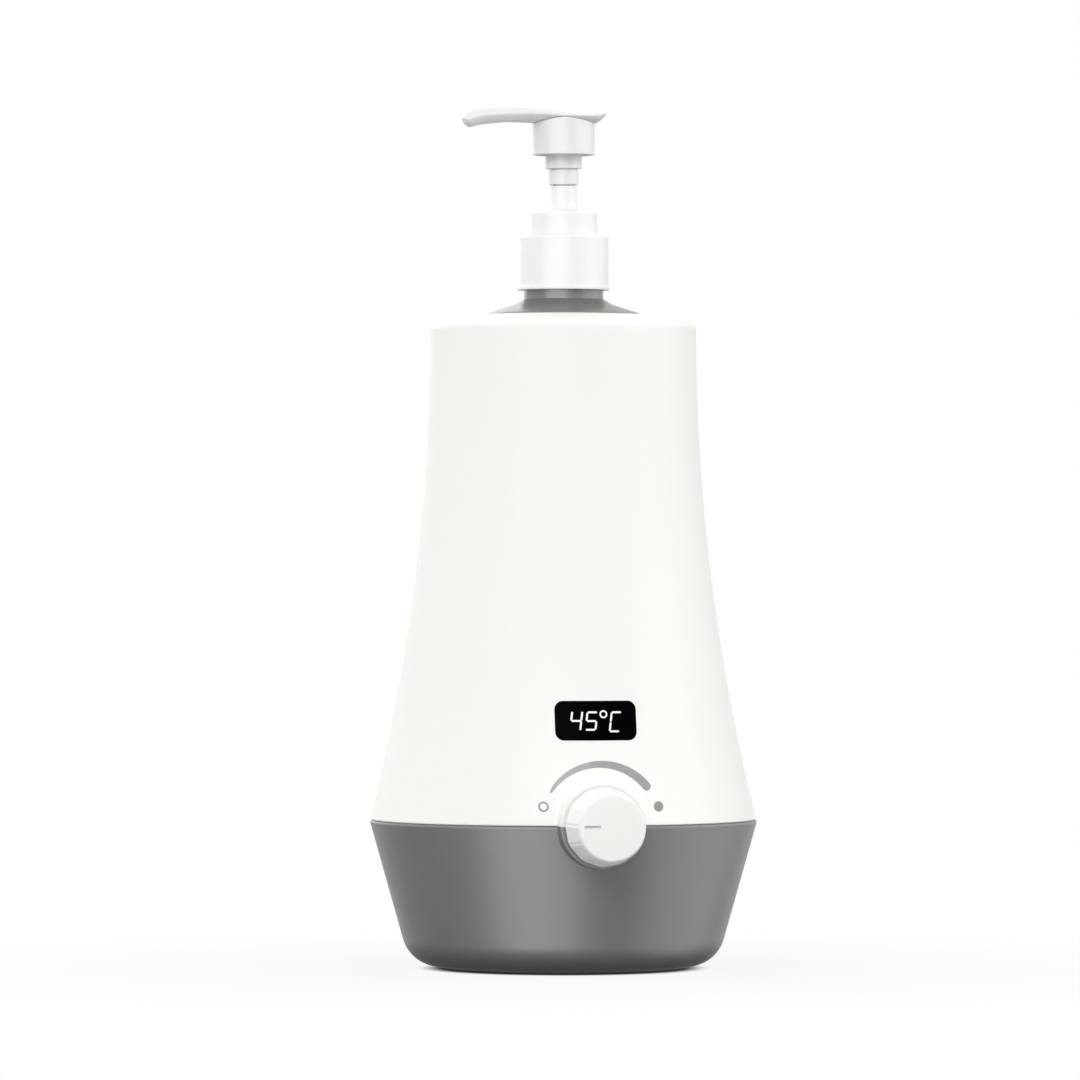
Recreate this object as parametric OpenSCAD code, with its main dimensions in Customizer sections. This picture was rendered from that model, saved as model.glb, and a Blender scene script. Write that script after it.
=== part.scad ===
// Massage oil warmer: a pump bottle that stands in a heated well, in a two-piece housing with a
// temperature knob and a lit display. Millimetres, +Z up, front towards -Y, origin on the table
// under the middle of the base.

/* [Body] */
// Diameter at the seam between bowl and shell, the widest place
body_d = 135; // [130:1:150]
// Height of that seam above the table
seam_z = 52; // [48:0.5:58]
// Diameter of the shell where its side meets its top
shell_top_d = 93; // [91:1:104]
// Height of the rim that the bottle comes out of
rim_z = 228.7; // [220:0.1:245]
// Slope of the shell's top, in degrees from level
top_slope = 9; // [5:0.5:12]
// Radius of the edge between the shell's side and its top
top_edge_r = 3; // [2:0.5:5]
// Lean of the bowl's side, in degrees from upright
bowl_lean = 15.7; // [12:0.1:18]
// How far the line of the bowl's side passes outside the shell at the seam
bowl_overhang = 0.75; // [0:0.05:1]
// Rounding of the bowl's rim, which takes that overhang away
bowl_rim_r = 2; // [1:0.1:3]
// Radius of the bowl's bottom edge
bowl_edge_r = 13; // [9:0.5:14]
// Wall of the bowl and the shell
wall = 2.4; // [2:0.1:3]
// Floor of the bowl
floor_t = 2.6; // [2.4:0.1:3.2]
// Open line between bowl and shell
seam_gap = 0.4; // [0.2:0.1:0.8]
// Rounding of the shell's lower edge
seam_edge_r = 0.6; // [0.3:0.1:1]
// Height of the lip that registers the shell on the bowl
lip_h = 4; // [3:0.5:6]
// Thickness of that lip
lip_t = 1.6; // [1.2:0.1:2]

/* [Foot and housing screws] */
// Mean diameter of the non-slip foot ring
foot_d = 78; // [70:1:80]
// Width of the foot ring
foot_w = 5; // [4:0.5:6]
// How far the foot ring stands below the bowl
foot_proud = 0.8; // [0.5:0.1:1.2]
// How deep the foot ring sits in its groove
foot_depth = 1.2; // [0.8:0.1:1.4]
// Radius of the circle that the housing screws stand on
screw_circle_r = 47; // [46:0.5:48]
// Shank diameter of the housing screws
screw_d = 3; // [2.5:0.1:3.5]
// Head diameter of the housing screws
screw_head_d = 5.6; // [5:0.1:6]
// Head height of the housing screws
screw_head_h = 2.2; // [1.6:0.1:2.6]
// Depth of thread in the shell's screw bosses
screw_grip = 12; // [8:1:16]
// Height of the housing screws' seat above the table
screw_seat_z = 32; // [20:1:36]

/* [Bottle] */
// Outside diameter of the bottle
bottle_d = 55; // [50:1:56]
// Height of the well's floor, where the bottle stands
well_floor_z = 80; // [76:1:100]
// Wall of the bottle
bottle_wall = 1.5; // [1.2:0.1:2]
// Gap all round between the bottle and the rim
bottle_gap = 0.5; // [0.3:0.1:1]
// Rise of the bottle's shoulder from the rim to the neck
shoulder_rise = 4.2; // [3:0.1:8]
// Diameter of the plain neck below the collar
neck_d = 27.8; // [27.6:0.1:27.9]
// Height of plain neck that shows below the collar
neck_show = 4.3; // [3:0.1:6]
// Inside diameter of the neck
neck_bore_d = 22; // [20:0.5:22.5]
// Diameter at the root of the neck's thread
thread_root_d = 25.1; // [24.8:0.1:25.4]
// Diameter over the crest of the neck's thread
thread_crest_d = 27.3; // [27:0.1:27.6]
// Pitch of the neck thread
thread_pitch = 4.23; // [4:0.01:4.5]
// Turns of thread on the neck
thread_turns = 1.5; // [1:0.25:1.5]

/* [Heated well] */
// Sheet thickness of the drawn cup
cup_t = 1.2; // [0.8:0.1:1.6]
// Width of the cup's flange
cup_flange_w = 4.5; // [3.5:0.5:5]
// Thickness of the seal between the flange and the shell
well_gasket_t = 1; // [0.6:0.1:1.5]
// Thickness of the ring that clamps the flange
clamp_t = 2.4; // [2:0.1:3.5]
// Height of the heater band
heater_h = 66; // [40:1:100]
// Thickness of the heater band
heater_t = 1.5; // [1:0.1:2]
// Diameter of the thermal cut-out's body
cutout_d = 16; // [14:0.5:17]
// Height of the thermal cut-out's body
cutout_h = 9; // [7:0.5:11]
// Spacing of the two studs under the cup
stud_pitch = 24; // [23:0.5:30]

/* [Display and knob] */
// Height of the display's middle
display_z = 87.9; // [84:0.1:100]
// Width of the display window
window_w = 28.4; // [26:0.1:34]
// Height of the display window
window_h = 13.5; // [12:0.1:18]
// Corner radius of the display window
window_r = 3; // [1.5:0.1:4]
// Diameter of the round boss behind the knob
boss_d = 30.8; // [30:0.1:36]
// How far the boss's face stands out past the seam
boss_proud = 6.7; // [4:0.1:9]
// Gap between the knob and the boss
knob_gap = 0.6; // [0.3:0.1:1.5]
// Diameter of the knob at its base
knob_d = 27.6; // [24:0.1:29]
// Diameter of the knob at its face
knob_face_d = 23.1; // [20:0.1:26]
// Length of the knob
knob_l = 12.9; // [11:0.1:16]
// Flat sides round the knob
knob_flats = 12; // [8:1:18]
// Length of the pointer groove in the knob's face
pointer_l = 6; // [4:0.5:8]
// Width of the pointer groove
pointer_w = 0.9; // [0.6:0.1:1.5]
// Depth of the pointer groove
pointer_depth = 0.5; // [0.3:0.1:1]
// Diameter of the potentiometer's shaft
shaft_d = 6; // [5:0.5:6.5]

/* [Pump] */
// Outside diameter of the screw collar
collar_d = 31.6; // [31:0.1:34]
// Height of the screw collar
collar_h = 19; // [18:0.1:21]
// Thickness of the collar's top
collar_top_t = 1.5; // [1.2:0.1:2]
// Diameter of the lock ring on top of the collar
lock_d = 24; // [22:0.5:25]
// Height that the lock ring stands above the collar
lock_h = 8.4; // [7:0.1:12]
// Diameter of the pump's stem
stem_d = 9.5; // [8:0.1:9.8]
// Length of bare stem between the lock ring and the head at rest
stem_show = 9.5; // [8:0.1:14]
// Travel of the pump
stroke = 15; // [10:0.5:15]
// Bore of the pump cylinder
cylinder_bore_d = 14.6; // [14.4:0.1:15]
// Wall of the pump cylinder
cylinder_wall = 1.3; // [1:0.1:1.5]
// Length of the pump cylinder below its flange
cylinder_l = 42; // [38:1:60]
// Turns of the return spring
spring_turns = 8; // [5:1:10]
// Wire diameter of the return spring
spring_wire_d = 1; // [0.8:0.1:1.2]
// Outside diameter of the dip tube
dip_tube_d = 5.2; // [4.5:0.1:5.5]
// Diameter of the pump head
head_d = 22; // [20:0.5:24]
// Height of the head's cylinder
head_h = 11; // [10:0.1:14]
// Reach of the spout from the pump's axis
spout_reach = 36.7; // [28:0.1:42]

/* [Hidden] */
$fn = 96;
// Largest step of an arc in an outline, in degrees
arc_step = 6;
// Extra length of a cut past the faces that it opens
over = 1;
// Clearance all round between pieces that slide together
fit_gap = 0.2;
// Clearance all round between a bore and a shaft, screw or tube in it
run_gap = 0.05;
// Width of a screw's cross slot
slot_w = 0.7;
// Head of the small screws inside
small_head_d = 4.8;
small_head_h = 1.8;

// Body levels and radii
body_r = body_d / 2;
bottle_r = bottle_d / 2;
rim_r = bottle_r + bottle_gap;
shell_top_r = shell_top_d / 2;
top_corner_z = rim_z - (shell_top_r - rim_r) * tan(top_slope);
flare_top_z = top_corner_z - top_edge_r;
flare_h = flare_top_z - seam_z;
flare_d = body_r - shell_top_r;
flare_r = (flare_h * flare_h + flare_d * flare_d) / (2 * flare_d);
flare_steps = 24;
floor_top_z = foot_proud + floor_t;
shell_low_z = seam_z + seam_gap / 2;
bowl_high_z = seam_z - seam_gap / 2;
function shell_side_r(z) = shell_top_r + flare_r - sqrt(flare_r * flare_r - pow(flare_top_z - z, 2));
function shell_top_z(r) = rim_z - (r - rim_r) * tan(top_slope);
function bowl_side_r(z) = body_r + bowl_overhang - (seam_z - z) * tan(bowl_lean);
bowl_wall_r = wall / cos(bowl_lean);
lip_r = shell_side_r(seam_z + lip_h) - wall - fit_gap;
lip_root = 8;

// Screw posts and bosses
post_meat = 2.7;
post_r = screw_d / 2 + post_meat;
head_gap = 0.5;
screw_well_r = screw_head_d / 2 + head_gap;
post_wall = 1.6;
boss_reserve = 4;
boss_blind = 2;
screw_tip_z = seam_z + screw_grip;
gusset_t = 2;

// Heated well
cup_gap = 0.3;
cup_r = rim_r + cup_gap;
cup_out_r = cup_r + cup_t;
cup_flange_r = cup_out_r + cup_flange_w;
gasket_inset = 0.8;
seat_margin = 2;
seat_r = cup_flange_r + seat_margin;
seat_z = shell_top_z(seat_r) - wall;
cup_top_z = seat_z - well_gasket_t;
clamp_top_z = cup_top_z - cup_t;
clamp_boss_r = 3.2;
clamp_boss_gap = 0.5;
clamp_side_gap = 2.9;
clamp_r = shell_top_r - wall - clamp_side_gap;
clamp_screw_r = clamp_r - clamp_boss_r;
clamp_screw_d = 2.6;
clamp_screw_grip = 1.6;
clamp_blind = 2;
cup_low_z = well_floor_z - cup_t;
heater_lift = 4;
heater_low_z = well_floor_z + heater_lift;
heater_split = 14;
stud_d = 3;
stud_l = 7;
plate_t = 0.8;
plate_w = 9;
plate_end = 4;
tab_w = 6;
tab_t = 0.8;
tab_l = 6;
tab_pitch = 8;
sensor_eye_r = 3.6;
sensor_arm_l = 7;
sensor_arm_w = 4;
sensor_arm_x = 9;
sensor_bead_r = 1.6;
sensor_bead_l = 5;
sensor_bead_x = 6;
sensor_bead_drop = 1;
nut_h = 2.4;
nut_d = 6.2;

// Display, front board and potentiometer, by distance from the axis
window_thin = 1.6;
window_top_r = shell_side_r(display_z + window_h / 2);
window_back = sqrt(window_top_r * window_top_r - pow(window_w / 2, 2)) - window_thin;
module_gap = 0.4;
module_w = 24;
module_h = 12;
module_t = 8;
board_t = 1.6;
board_front = window_back - module_gap - module_t;
board_w = 44;
board_drop = 16;
board_rise = 12;
board_low_z = seam_z - board_drop;
board_high_z = display_z + board_rise;
rail_w = 4.5;
rail_hold = 1.8;
rail_behind = 2;
rail_above = 2;
rail_low_gap = 1;
foot_post_w = 4;
foot_post_behind = 2;
foot_post_hold = 2;
pot_w = 16;
pot_h = 18;
pot_t = 6.5;
bushing_d = 7.4;
bushing_l = 6;
pot_back_t = 1.5;
shaft_back_gap = 0.5;
shaft_tip_gap = 0.5;
boss_r = boss_d / 2;
boss_wall = 2.35;
boss_front = body_r + boss_proud;
boss_face_t = 2.6;
boss_sink = 5;
boss_root = bowl_side_r(seam_z - boss_r) - boss_sink;
shaft_hole_gap = 1.2;
shaft_hole_r = shaft_d / 2 + shaft_hole_gap;
knob_back = boss_front + knob_gap;
knob_front = knob_back + knob_l;
knob_wall = 1.8;
knob_edge_r = 0.8;
knob_back_r = 0.4;
pointer_margin = 1.2;
knob_top_t = 3.5;
hub_wall = 2;
hub_r = shaft_d / 2 + hub_wall;
knob_taper = atan((knob_d - knob_face_d) / 2 / knob_l);

// Power board and inlet, in the bowl
standoff_h = 8.6;
power_z = floor_top_z + standoff_h;
power_w = 60;
power_l = 44;
power_top_z = power_z + board_t;
standoff_inset = 4;
standoff_x = power_w / 2 - standoff_inset;
standoff_y = power_l / 2 - standoff_inset;
standoff_r = 3;
standoff_blind = 1;
board_screw_d = 2.6;
board_screw_grip = 6;
core_w = 18;
core_d = 14;
core_h = 16;
winding_w = 24;
winding_d = 7;
winding_h = 8;
transformer_at = [-12, -4, power_top_z];
capacitor_r = 6;
capacitor_h = 15;
capacitor_edge_r = 0.8;
capacitor_at = [13, -11, power_top_z];
relay_w = 15;
relay_d = 12;
relay_h = 14;
relay_edge_r = 0.8;
relay_at = [16, 5, power_top_z];
terminal_w = 16;
terminal_d = 8;
terminal_h = 10;
terminal_pitch = 8;
terminal_screw_d = 3.4;
terminal_screw_depth = 4;
terminal_at = [0, 14, power_top_z];
inlet_z = 24;
inlet_w = 22;
inlet_h = 14;
inlet_flange_t = 1.5;
inlet_body_w = 19;
inlet_body_h = 11;
inlet_body_l = 14;
inlet_corner_r = 2;
inlet_body_r = 0.8;
pocket_margin = 3;
pocket_w = inlet_w + pocket_margin;
pocket_h = inlet_h + pocket_margin;
pocket_depth = 1.8;
pocket_low_r = bowl_side_r(inlet_z - pocket_h / 2);
pocket_y = sqrt(pocket_low_r * pocket_low_r - pow(pocket_w / 2, 2)) - pocket_depth;
socket_w = 16.6;
socket_h = 8.4;
socket_l = 11;
pin_d = 2.4;
pin_pitch = 8.6;
pin_l = 9;
pin_tail = 6;

// Bottle neck, collar and pump, by height
neck_base_z = rim_z + shoulder_rise;
collar_z = neck_base_z + neck_show;
neck_ring_rise = 1;
neck_ring_top_z = collar_z + neck_ring_rise;
collar_top_z = collar_z + collar_h;
flange_gap = 0.1;
flange_top_z = collar_top_z - collar_top_t - flange_gap;
flange_t = 1.8;
neck_gasket_t = 1;
land_z = flange_top_z - flange_t - neck_gasket_t;
neck_r = neck_d / 2;
thread_root_r = thread_root_d / 2;
thread_crest_r = thread_crest_d / 2;
collar_r = collar_d / 2;
collar_bead = 0.4;
collar_bead_h = 1.2;
collar_bead_r = 0.3;
collar_edge_r = 1;
crest_gap = 0.55;
root_gap = 0.45;
collar_bore_r = thread_crest_r + crest_gap;
collar_crest_r = thread_root_r + root_gap;
ridge_w = 0.7;
ridge_base_w = 1.5;
ridge_sink = 0.4;
thread_lead_in = 1.6;
thread_low_z = land_z - thread_turns * thread_pitch - thread_lead_in;
collar_turns = thread_turns - 0.25;
flange_side_gap = 0.9;
flange_r = collar_bore_r - flange_side_gap;
lock_r = lock_d / 2;
lock_top_z = collar_top_z + lock_h;
cylinder_r = cylinder_bore_d / 2;
cylinder_out_r = cylinder_r + cylinder_wall;
snap_h = 4;
cylinder_top_z = flange_top_z + snap_h;
cylinder_low_z = flange_top_z - cylinder_l;
ball_d = 5;
ball_chamber_r = 3.4;
ball_chamber_l = 5;
seat_cone_l = 2.5;
inlet_bore_r = 1.5;
inlet_bore_l = 1.5;
tube_socket_l = 9;
tube_socket_r = dip_tube_d / 2 + run_gap;
tube_wall = 0.7;
tube_foot_gap = 3;
nose_wall = 1.6;
cylinder_taper_l = 2;
piston_h = 6;
piston_drop = 2.4;
piston_top_z = flange_top_z - piston_drop;
piston_lip_h = 1.5;
piston_waist_h = 2.2;
piston_waist = 0.8;
spigot_r = 3;
stem_r = stem_d / 2;
stem_bore_r = 1.8;
guide_top_wall = 0.65;
guide_low_wall = 0.35;
guide_top_r = stem_r + guide_top_wall;
guide_low_r = stem_r + guide_low_wall;
stop_gap = 0.1;
guide_h = stroke + stop_gap - stem_show;
stop_wall = 1.75;
stop_r = stem_r + stop_wall;
stop_h = 4.8;
guide_gap = 0.35;
lock_bore_r = guide_top_r + guide_gap;
lock_edge_r = 1;
guide_z = lock_top_z + stem_show;
stop_z = guide_z + guide_h;
head_z = stop_z + stop_h;
head_r = head_d / 2;
head_top_z = head_z + head_h;
head_skirt_t = 1.3;
head_crown_t = 3;
stem_in_head = 5;
stem_top_z = head_z + stem_in_head;
head_lap = 0.6;
head_bore_gap = 0.2;
spring_gap = 1.2;
spring_r = cylinder_r - spring_wire_d / 2 - spring_gap;
spring_low_z = cylinder_low_z + spring_wire_d / 2 + run_gap;
spring_high_z = piston_top_z - piston_h - spring_wire_d / 2 - run_gap;

// Routes of the leads inside the housing
lead_d = 1.6;
lead_gap = 0.13;
pin_tail_y = pocket_y - inlet_body_l - pin_tail;
terminal_back_y = terminal_at[1] + terminal_d / 2;
board_back_y = board_t - board_front;
ribbon_wire_d = 1.2;
ribbon_pitch = 1.5;
ribbon_end_y = -16;
// Each of these two routes is [share of the way from its first end to its second, height].
mains_way = [[0, 24], [0.16, 24], [0.4, 23.2], [0.65, 21.2], [0.86, 19.4], [1, 19]];
ribbon_way = [[0, 40], [0.12, 40], [0.3, 36.5], [0.44, 30], [0.58, 23], [0.72, 17.6], [0.86, 15], [1, 14.4]];
function between(a, b, share) = a + (b - a) * share;
mains_route = [for (p = mains_way)
    [pin_pitch / 2, between(pin_tail_y - lead_gap, terminal_back_y + lead_gap, p[0]), p[1]]];
ribbon_route = [for (p = ribbon_way)
    [0, between(board_back_y + fit_gap, ribbon_end_y, p[0]), p[1]]];
heater_step = [0.8, -3, 0];
heater_route = [
    [30.1, 12.7, 92], [34, 14, 88], [37.5, 14, 78], [37, 13, 60], [34, 11, 40],
    [28, 9, 34], [22, 8, 32.5], [20.3, 8, 30.3], [20, 8, 27.9]
];
sensor_lead_gap = 0.4;
sensor_tip = [-stud_pitch / 2 - sensor_bead_x - sensor_bead_l, 0, cup_low_z - 2 * plate_t - sensor_bead_drop];
sensor_route = [
    sensor_tip - [sensor_lead_gap, 0, 0], sensor_tip + [-4, 1, -1.2],
    [-33, 4, 66], [-35, 6, 45], [-31, 8, 26], [-25, 10, 19], [-22.5, 10, 14]
];

// Outlines

function unit(v) = v / norm(v);
function flat(p) = [p[0], p[1]];

// Points of an arc about c, from angle a0 to a1.
function arc(c, r, a0, a1) =
    let (n = max(1, ceil(abs(a1 - a0) / arc_step)))
    [for (i = [0:n]) let (a = a0 + (a1 - a0) * i / n) c + r * [cos(a), sin(a)]];

// One corner [x, y, r] of an outline: the point itself, or an arc that touches both of its sides.
function corner(before, at, after) =
    at[2] == undef || at[2] <= 0 ? [flat(at)] :
    let (
        p = flat(at),
        u = unit(flat(before) - p),
        v = unit(flat(after) - p),
        half = acos(u * v) / 2,
        c = p + unit(u + v) * at[2] / sin(half),
        t = p + u * at[2] / tan(half) - c,
        a = atan2(t[1], t[0]),
        turn = sign(v[0] * u[1] - v[1] * u[0]) * (180 - 2 * half)
    )
    arc(c, at[2], a, a + turn);

// An outline whose corners [x, y, r] are rounded.
function rounded(outline) =
    let (n = len(outline))
    [for (i = [0:n - 1]) each corner(outline[(i + n - 1) % n], outline[i], outline[(i + 1) % n])];

function rounded_rect(w, h, r) =
    rounded([[-w / 2, -h / 2, r], [w / 2, -h / 2, r], [w / 2, h / 2, r], [-w / 2, h / 2, r]]);

// Shapes that repeat

module turned(points) rotate_extrude() polygon(points);

module ring(r_out, r_in, z, h) turned([[r_in, z], [r_out, z], [r_out, z + h], [r_in, z + h]]);

// Places its children on the front, with their Z pointing out of the body and their Y up.
module at_front(z) rotate([90, 0, 0]) translate([0, z, 0]) children();

// Places its children on the back, with their Z pointing out of the body and their Y up.
module at_back(z) rotate([90, 0, 180]) translate([0, z, 0]) children();

module at_corners(x, y) for (i = [-1, 1], j = [-1, 1]) translate([i * x, j * y, 0]) children();

module round_about(n, r, start)
    for (i = [0:n - 1]) rotate(start + 360 * i / n) translate([r, 0, 0]) children();

module prism(w, h, r, l) linear_extrude(l) polygon(rounded_rect(w, h, r));

// A pan-head screw that points up, with its head below z = 0.
module screw(d, head_d, head_h, l) {
    difference() {
        union() {
            cylinder(d = d, h = l);
            translate([0, 0, -head_h]) cylinder(d = head_d, h = head_h);
        }
        for (a = [0, 90]) rotate(a) translate([-head_d / 3, -slot_w / 2, -head_h - over])
            cube([head_d * 2 / 3, slot_w, head_h / 2 + over]);
    }
}

// Faces of a tube of n-sided rings, closed at both ends.
function tube_faces(rings, n) = concat(
    [for (i = [0:rings - 2], j = [0:n - 1]) let (k = (j + 1) % n) each
        [[i * n + j, (i + 1) * n + k, i * n + k], [i * n + j, (i + 1) * n + j, (i + 1) * n + k]]],
    [for (j = [1:n - 2]) [0, j, j + 1]],
    [for (j = [1:n - 2]) let (e = (rings - 1) * n) [e, e + j + 1, e + j]]
);

// A ridge with the section [[r, z], ...] that climbs round the Z axis.
module ridge(section, pitch, turns, z) {
    steps = ceil(turns * 24);
    n = len(section);
    points = [for (i = [0:steps]) let (a = 360 * turns * i / steps) for (p = section)
        [p[0] * cos(a), p[0] * sin(a), z + p[1] + pitch * a / 360]];
    polyhedron(points, tube_faces(steps + 1, n));
}

// A round lead along a route.
function direction(route, i) =
    unit(route[min(i + 1, len(route) - 1)] - route[max(i - 1, 0)]);

module lead(route, d, sides = 8) {
    points = [for (i = [0:len(route) - 1])
        let (t = direction(route, i), s = unit(cross(t, [0.31, 0.17, 0.93])), u = cross(t, s))
        for (j = [0:sides - 1]) route[i] + d / 2 * (cos(360 * j / sides) * s + sin(360 * j / sides) * u)];
    polyhedron(points, tube_faces(len(route), sides));
}

function moved(route, v) = [for (p = route) p + v];

// Housing

function bowl_profile(top_z, top_r) = rounded([
    [0, foot_proud],
    [bowl_side_r(foot_proud), foot_proud, bowl_edge_r],
    [bowl_side_r(top_z), top_z, top_r],
    [0, top_z]
]);

bowl_outline = bowl_profile(bowl_high_z, bowl_rim_r);

bowl_hollow = rounded([
    [0, floor_top_z],
    [bowl_side_r(floor_top_z) - bowl_wall_r, floor_top_z, bowl_edge_r - wall],
    [bowl_side_r(seam_z + over) - bowl_wall_r, seam_z + over],
    [0, seam_z + over]
]);

function flare(inset) = [for (i = [1:flare_steps])
    let (z = shell_low_z + (flare_top_z - shell_low_z) * i / flare_steps) [shell_side_r(z) - inset, z]];

shell_outline = rounded(concat(
    [[0, shell_low_z], [shell_side_r(shell_low_z), shell_low_z, seam_edge_r]],
    flare(0),
    [[shell_top_r, top_corner_z, top_edge_r], [rim_r, rim_z], [0, rim_z]]
));

shell_hollow = concat(
    [[0, shell_low_z - over], [shell_side_r(shell_low_z) - wall, shell_low_z - over]],
    flare(wall),
    [[shell_top_r - wall, shell_top_z(shell_top_r - wall) - wall], [seat_r, seat_z], [0, seat_z]]
);

// The round boss behind the knob, and the room behind its face.
module boss() at_front(seam_z) translate([0, 0, boss_root]) cylinder(r = boss_r, h = boss_front - boss_root);

module boss_room() at_front(seam_z) {
    cylinder(r = boss_r - boss_wall, h = boss_front - boss_face_t);
    cylinder(r = shaft_hole_r, h = boss_front + over);
}

module upper_half() translate([-body_r * 2, -body_r * 2, shell_low_z]) cube(body_r * 4);

module lower_half() translate([-body_r * 2, -body_r * 2, bowl_high_z - body_r * 4]) cube(body_r * 4);

module bowl_posts() {
    round_about(4, screw_circle_r, 45) translate([0, 0, floor_top_z - floor_t / 2])
        cylinder(r = max(post_r, screw_well_r + post_wall), h = shell_low_z - floor_top_z + floor_t / 2);
    at_corners(standoff_x, standoff_y) translate([0, 0, floor_top_z - floor_t / 2])
        cylinder(r = standoff_r, h = power_z - floor_top_z + floor_t / 2);
    post_low_z = floor_top_z - floor_t / 2;
    for (x = [-1, 1])
        translate([x * board_w / 4 - foot_post_w / 2, -board_front - foot_post_behind, post_low_z])
            cube([foot_post_w, board_t + 2 * foot_post_behind, board_low_z + foot_post_hold - post_low_z]);
}

module bowl_cuts() {
    boss_room();
    ring((foot_d + foot_w) / 2 + run_gap, (foot_d - foot_w) / 2 - run_gap,
        foot_proud - over, foot_depth + over);
    round_about(4, screw_circle_r, 45) {
        translate([0, 0, -over]) cylinder(r = screw_well_r, h = screw_seat_z + over);
        cylinder(r = screw_d / 2 + fit_gap, h = seam_z + over);
    }
    at_corners(standoff_x, standoff_y) translate([0, 0, floor_top_z + standoff_blind])
        cylinder(r = board_screw_d / 2 + run_gap, h = power_z);
    translate([-board_w / 2, -board_front - fit_gap, board_low_z])
        cube([board_w, board_t + 2 * fit_gap, seam_z]);
    at_back(inlet_z) {
        translate([0, 0, pocket_y]) prism(pocket_w, pocket_h, inlet_corner_r, body_r);
        prism(inlet_body_w + 2 * fit_gap, inlet_body_h + 2 * fit_gap, inlet_body_r + fit_gap, body_r);
    }
}

module base_bowl() {
    color([0.46, 0.45, 0.45]) difference() {
        union() {
            rotate_extrude() difference() {
                polygon(bowl_outline);
                polygon(bowl_hollow);
            }
            ring(lip_r, lip_r - lip_t, seam_z - lip_root, lip_root + lip_h);
            intersection() {
                boss();
                lower_half();
            }
            intersection() {
                turned(bowl_profile(shell_low_z, 0));
                union() {
                    bowl_posts();
                    at_back(inlet_z) translate([0, 0, pocket_y - wall])
                        prism(pocket_w + 2 * wall, pocket_h + 2 * wall, inlet_corner_r + wall, body_r);
                }
            }
        }
        bowl_cuts();
    }
}

module shell_ribs() {
    round_about(4, screw_circle_r, 45) translate([0, 0, shell_low_z]) {
        cylinder(r = post_r, h = screw_grip + boss_reserve);
        translate([0, -gusset_t / 2, 0]) cube([body_r, gusset_t, screw_grip + boss_reserve]);
    }
    round_about(4, clamp_screw_r, 45) translate([0, 0, clamp_top_z]) cylinder(r = clamp_boss_r, h = rim_z);
    rail_low_z = seam_z + lip_h + rail_low_gap;
    for (x = [-1, 1])
        translate([x * (board_w / 2 + rail_w / 2 - rail_hold) - rail_w / 2, -body_r, rail_low_z])
            cube([rail_w, body_r - board_front + board_t + rail_behind,
                board_high_z + rail_above + rail_low_gap - rail_low_z]);
}

module shell_cuts() {
    boss_room();
    translate([0, 0, rim_z - body_r]) cylinder(r = rim_r, h = body_r + over);
    round_about(4, screw_circle_r, 45) translate([0, 0, shell_low_z - over])
        cylinder(r = screw_d / 2 + run_gap, h = screw_grip + boss_blind + over);
    // Room for the bowl's lip where the gussets cross it.
    ring(lip_r + fit_gap, lip_r - lip_t - fit_gap, shell_low_z - over, lip_h + over);
    round_about(4, clamp_screw_r, 45) translate([0, 0, clamp_top_z - over])
        cylinder(r = clamp_screw_d / 2 + run_gap, h = over + clamp_blind);
    translate([-board_w / 2 - fit_gap, -board_front - fit_gap, shell_low_z - over])
        cube([board_w + 2 * fit_gap, board_t + 2 * fit_gap, board_high_z + fit_gap - shell_low_z + over]);
    at_front(display_z) prism(window_w + 2 * run_gap, window_h + 2 * run_gap, window_r + run_gap, body_r);
}

module body_shell() {
    color([0.94, 0.93, 0.9]) difference() {
        union() {
            rotate_extrude() difference() {
                polygon(shell_outline);
                polygon(shell_hollow);
            }
            intersection() {
                boss();
                upper_half();
            }
            intersection() {
                turned(shell_outline);
                shell_ribs();
            }
        }
        shell_cuts();
    }
}

module foot_ring() color([0.15, 0.15, 0.15])
    ring((foot_d + foot_w) / 2, (foot_d - foot_w) / 2, 0, foot_proud + foot_depth);

module housing_screws() color("silver") round_about(4, screw_circle_r, 45)
    translate([0, 0, screw_seat_z]) screw(screw_d, screw_head_d, screw_head_h, screw_tip_z - screw_seat_z);

// Heated well

// Room round the shell's clamp bosses, in the flange and its seal.
module boss_notches() round_about(4, clamp_screw_r, 45) translate([0, 0, clamp_top_z - over])
    cylinder(r = clamp_boss_r + clamp_boss_gap, h = cup_t + well_gasket_t + 2 * over);

module heating_cup() {
    color([0.78, 0.79, 0.8]) {
        difference() {
            turned([
                [0, cup_low_z], [cup_out_r, cup_low_z], [cup_out_r, clamp_top_z], [cup_flange_r, clamp_top_z],
                [cup_flange_r, cup_top_z], [cup_r, cup_top_z], [cup_r, well_floor_z], [0, well_floor_z]
            ]);
            boss_notches();
        }
        for (x = [-1, 1]) translate([x * stud_pitch / 2, 0, cup_low_z - stud_l])
            cylinder(d = stud_d, h = stud_l + cup_t / 2);
    }
}

module well_gasket() color([0.55, 0.55, 0.57]) difference() {
    ring(cup_flange_r, rim_r + gasket_inset, cup_top_z, well_gasket_t);
    boss_notches();
}

module clamp_ring() {
    color([0.3, 0.3, 0.32]) difference() {
        ring(clamp_r, cup_out_r + fit_gap, clamp_top_z - clamp_t, clamp_t);
        round_about(4, clamp_screw_r, 45) translate([0, 0, clamp_top_z - clamp_t - over])
            cylinder(r = clamp_screw_d / 2 + fit_gap, h = clamp_t + 2 * over);
    }
}

module clamp_screws() color("silver") round_about(4, clamp_screw_r, 45)
    translate([0, 0, clamp_top_z - clamp_t])
        screw(clamp_screw_d, small_head_d, small_head_h, clamp_t + clamp_screw_grip);

module heater_band() {
    color([0.72, 0.25, 0.15]) rotate(heater_split / 2) rotate_extrude(angle = 360 - heater_split)
        translate([cup_out_r + run_gap, heater_low_z]) square([heater_t, heater_h]);
}

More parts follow.
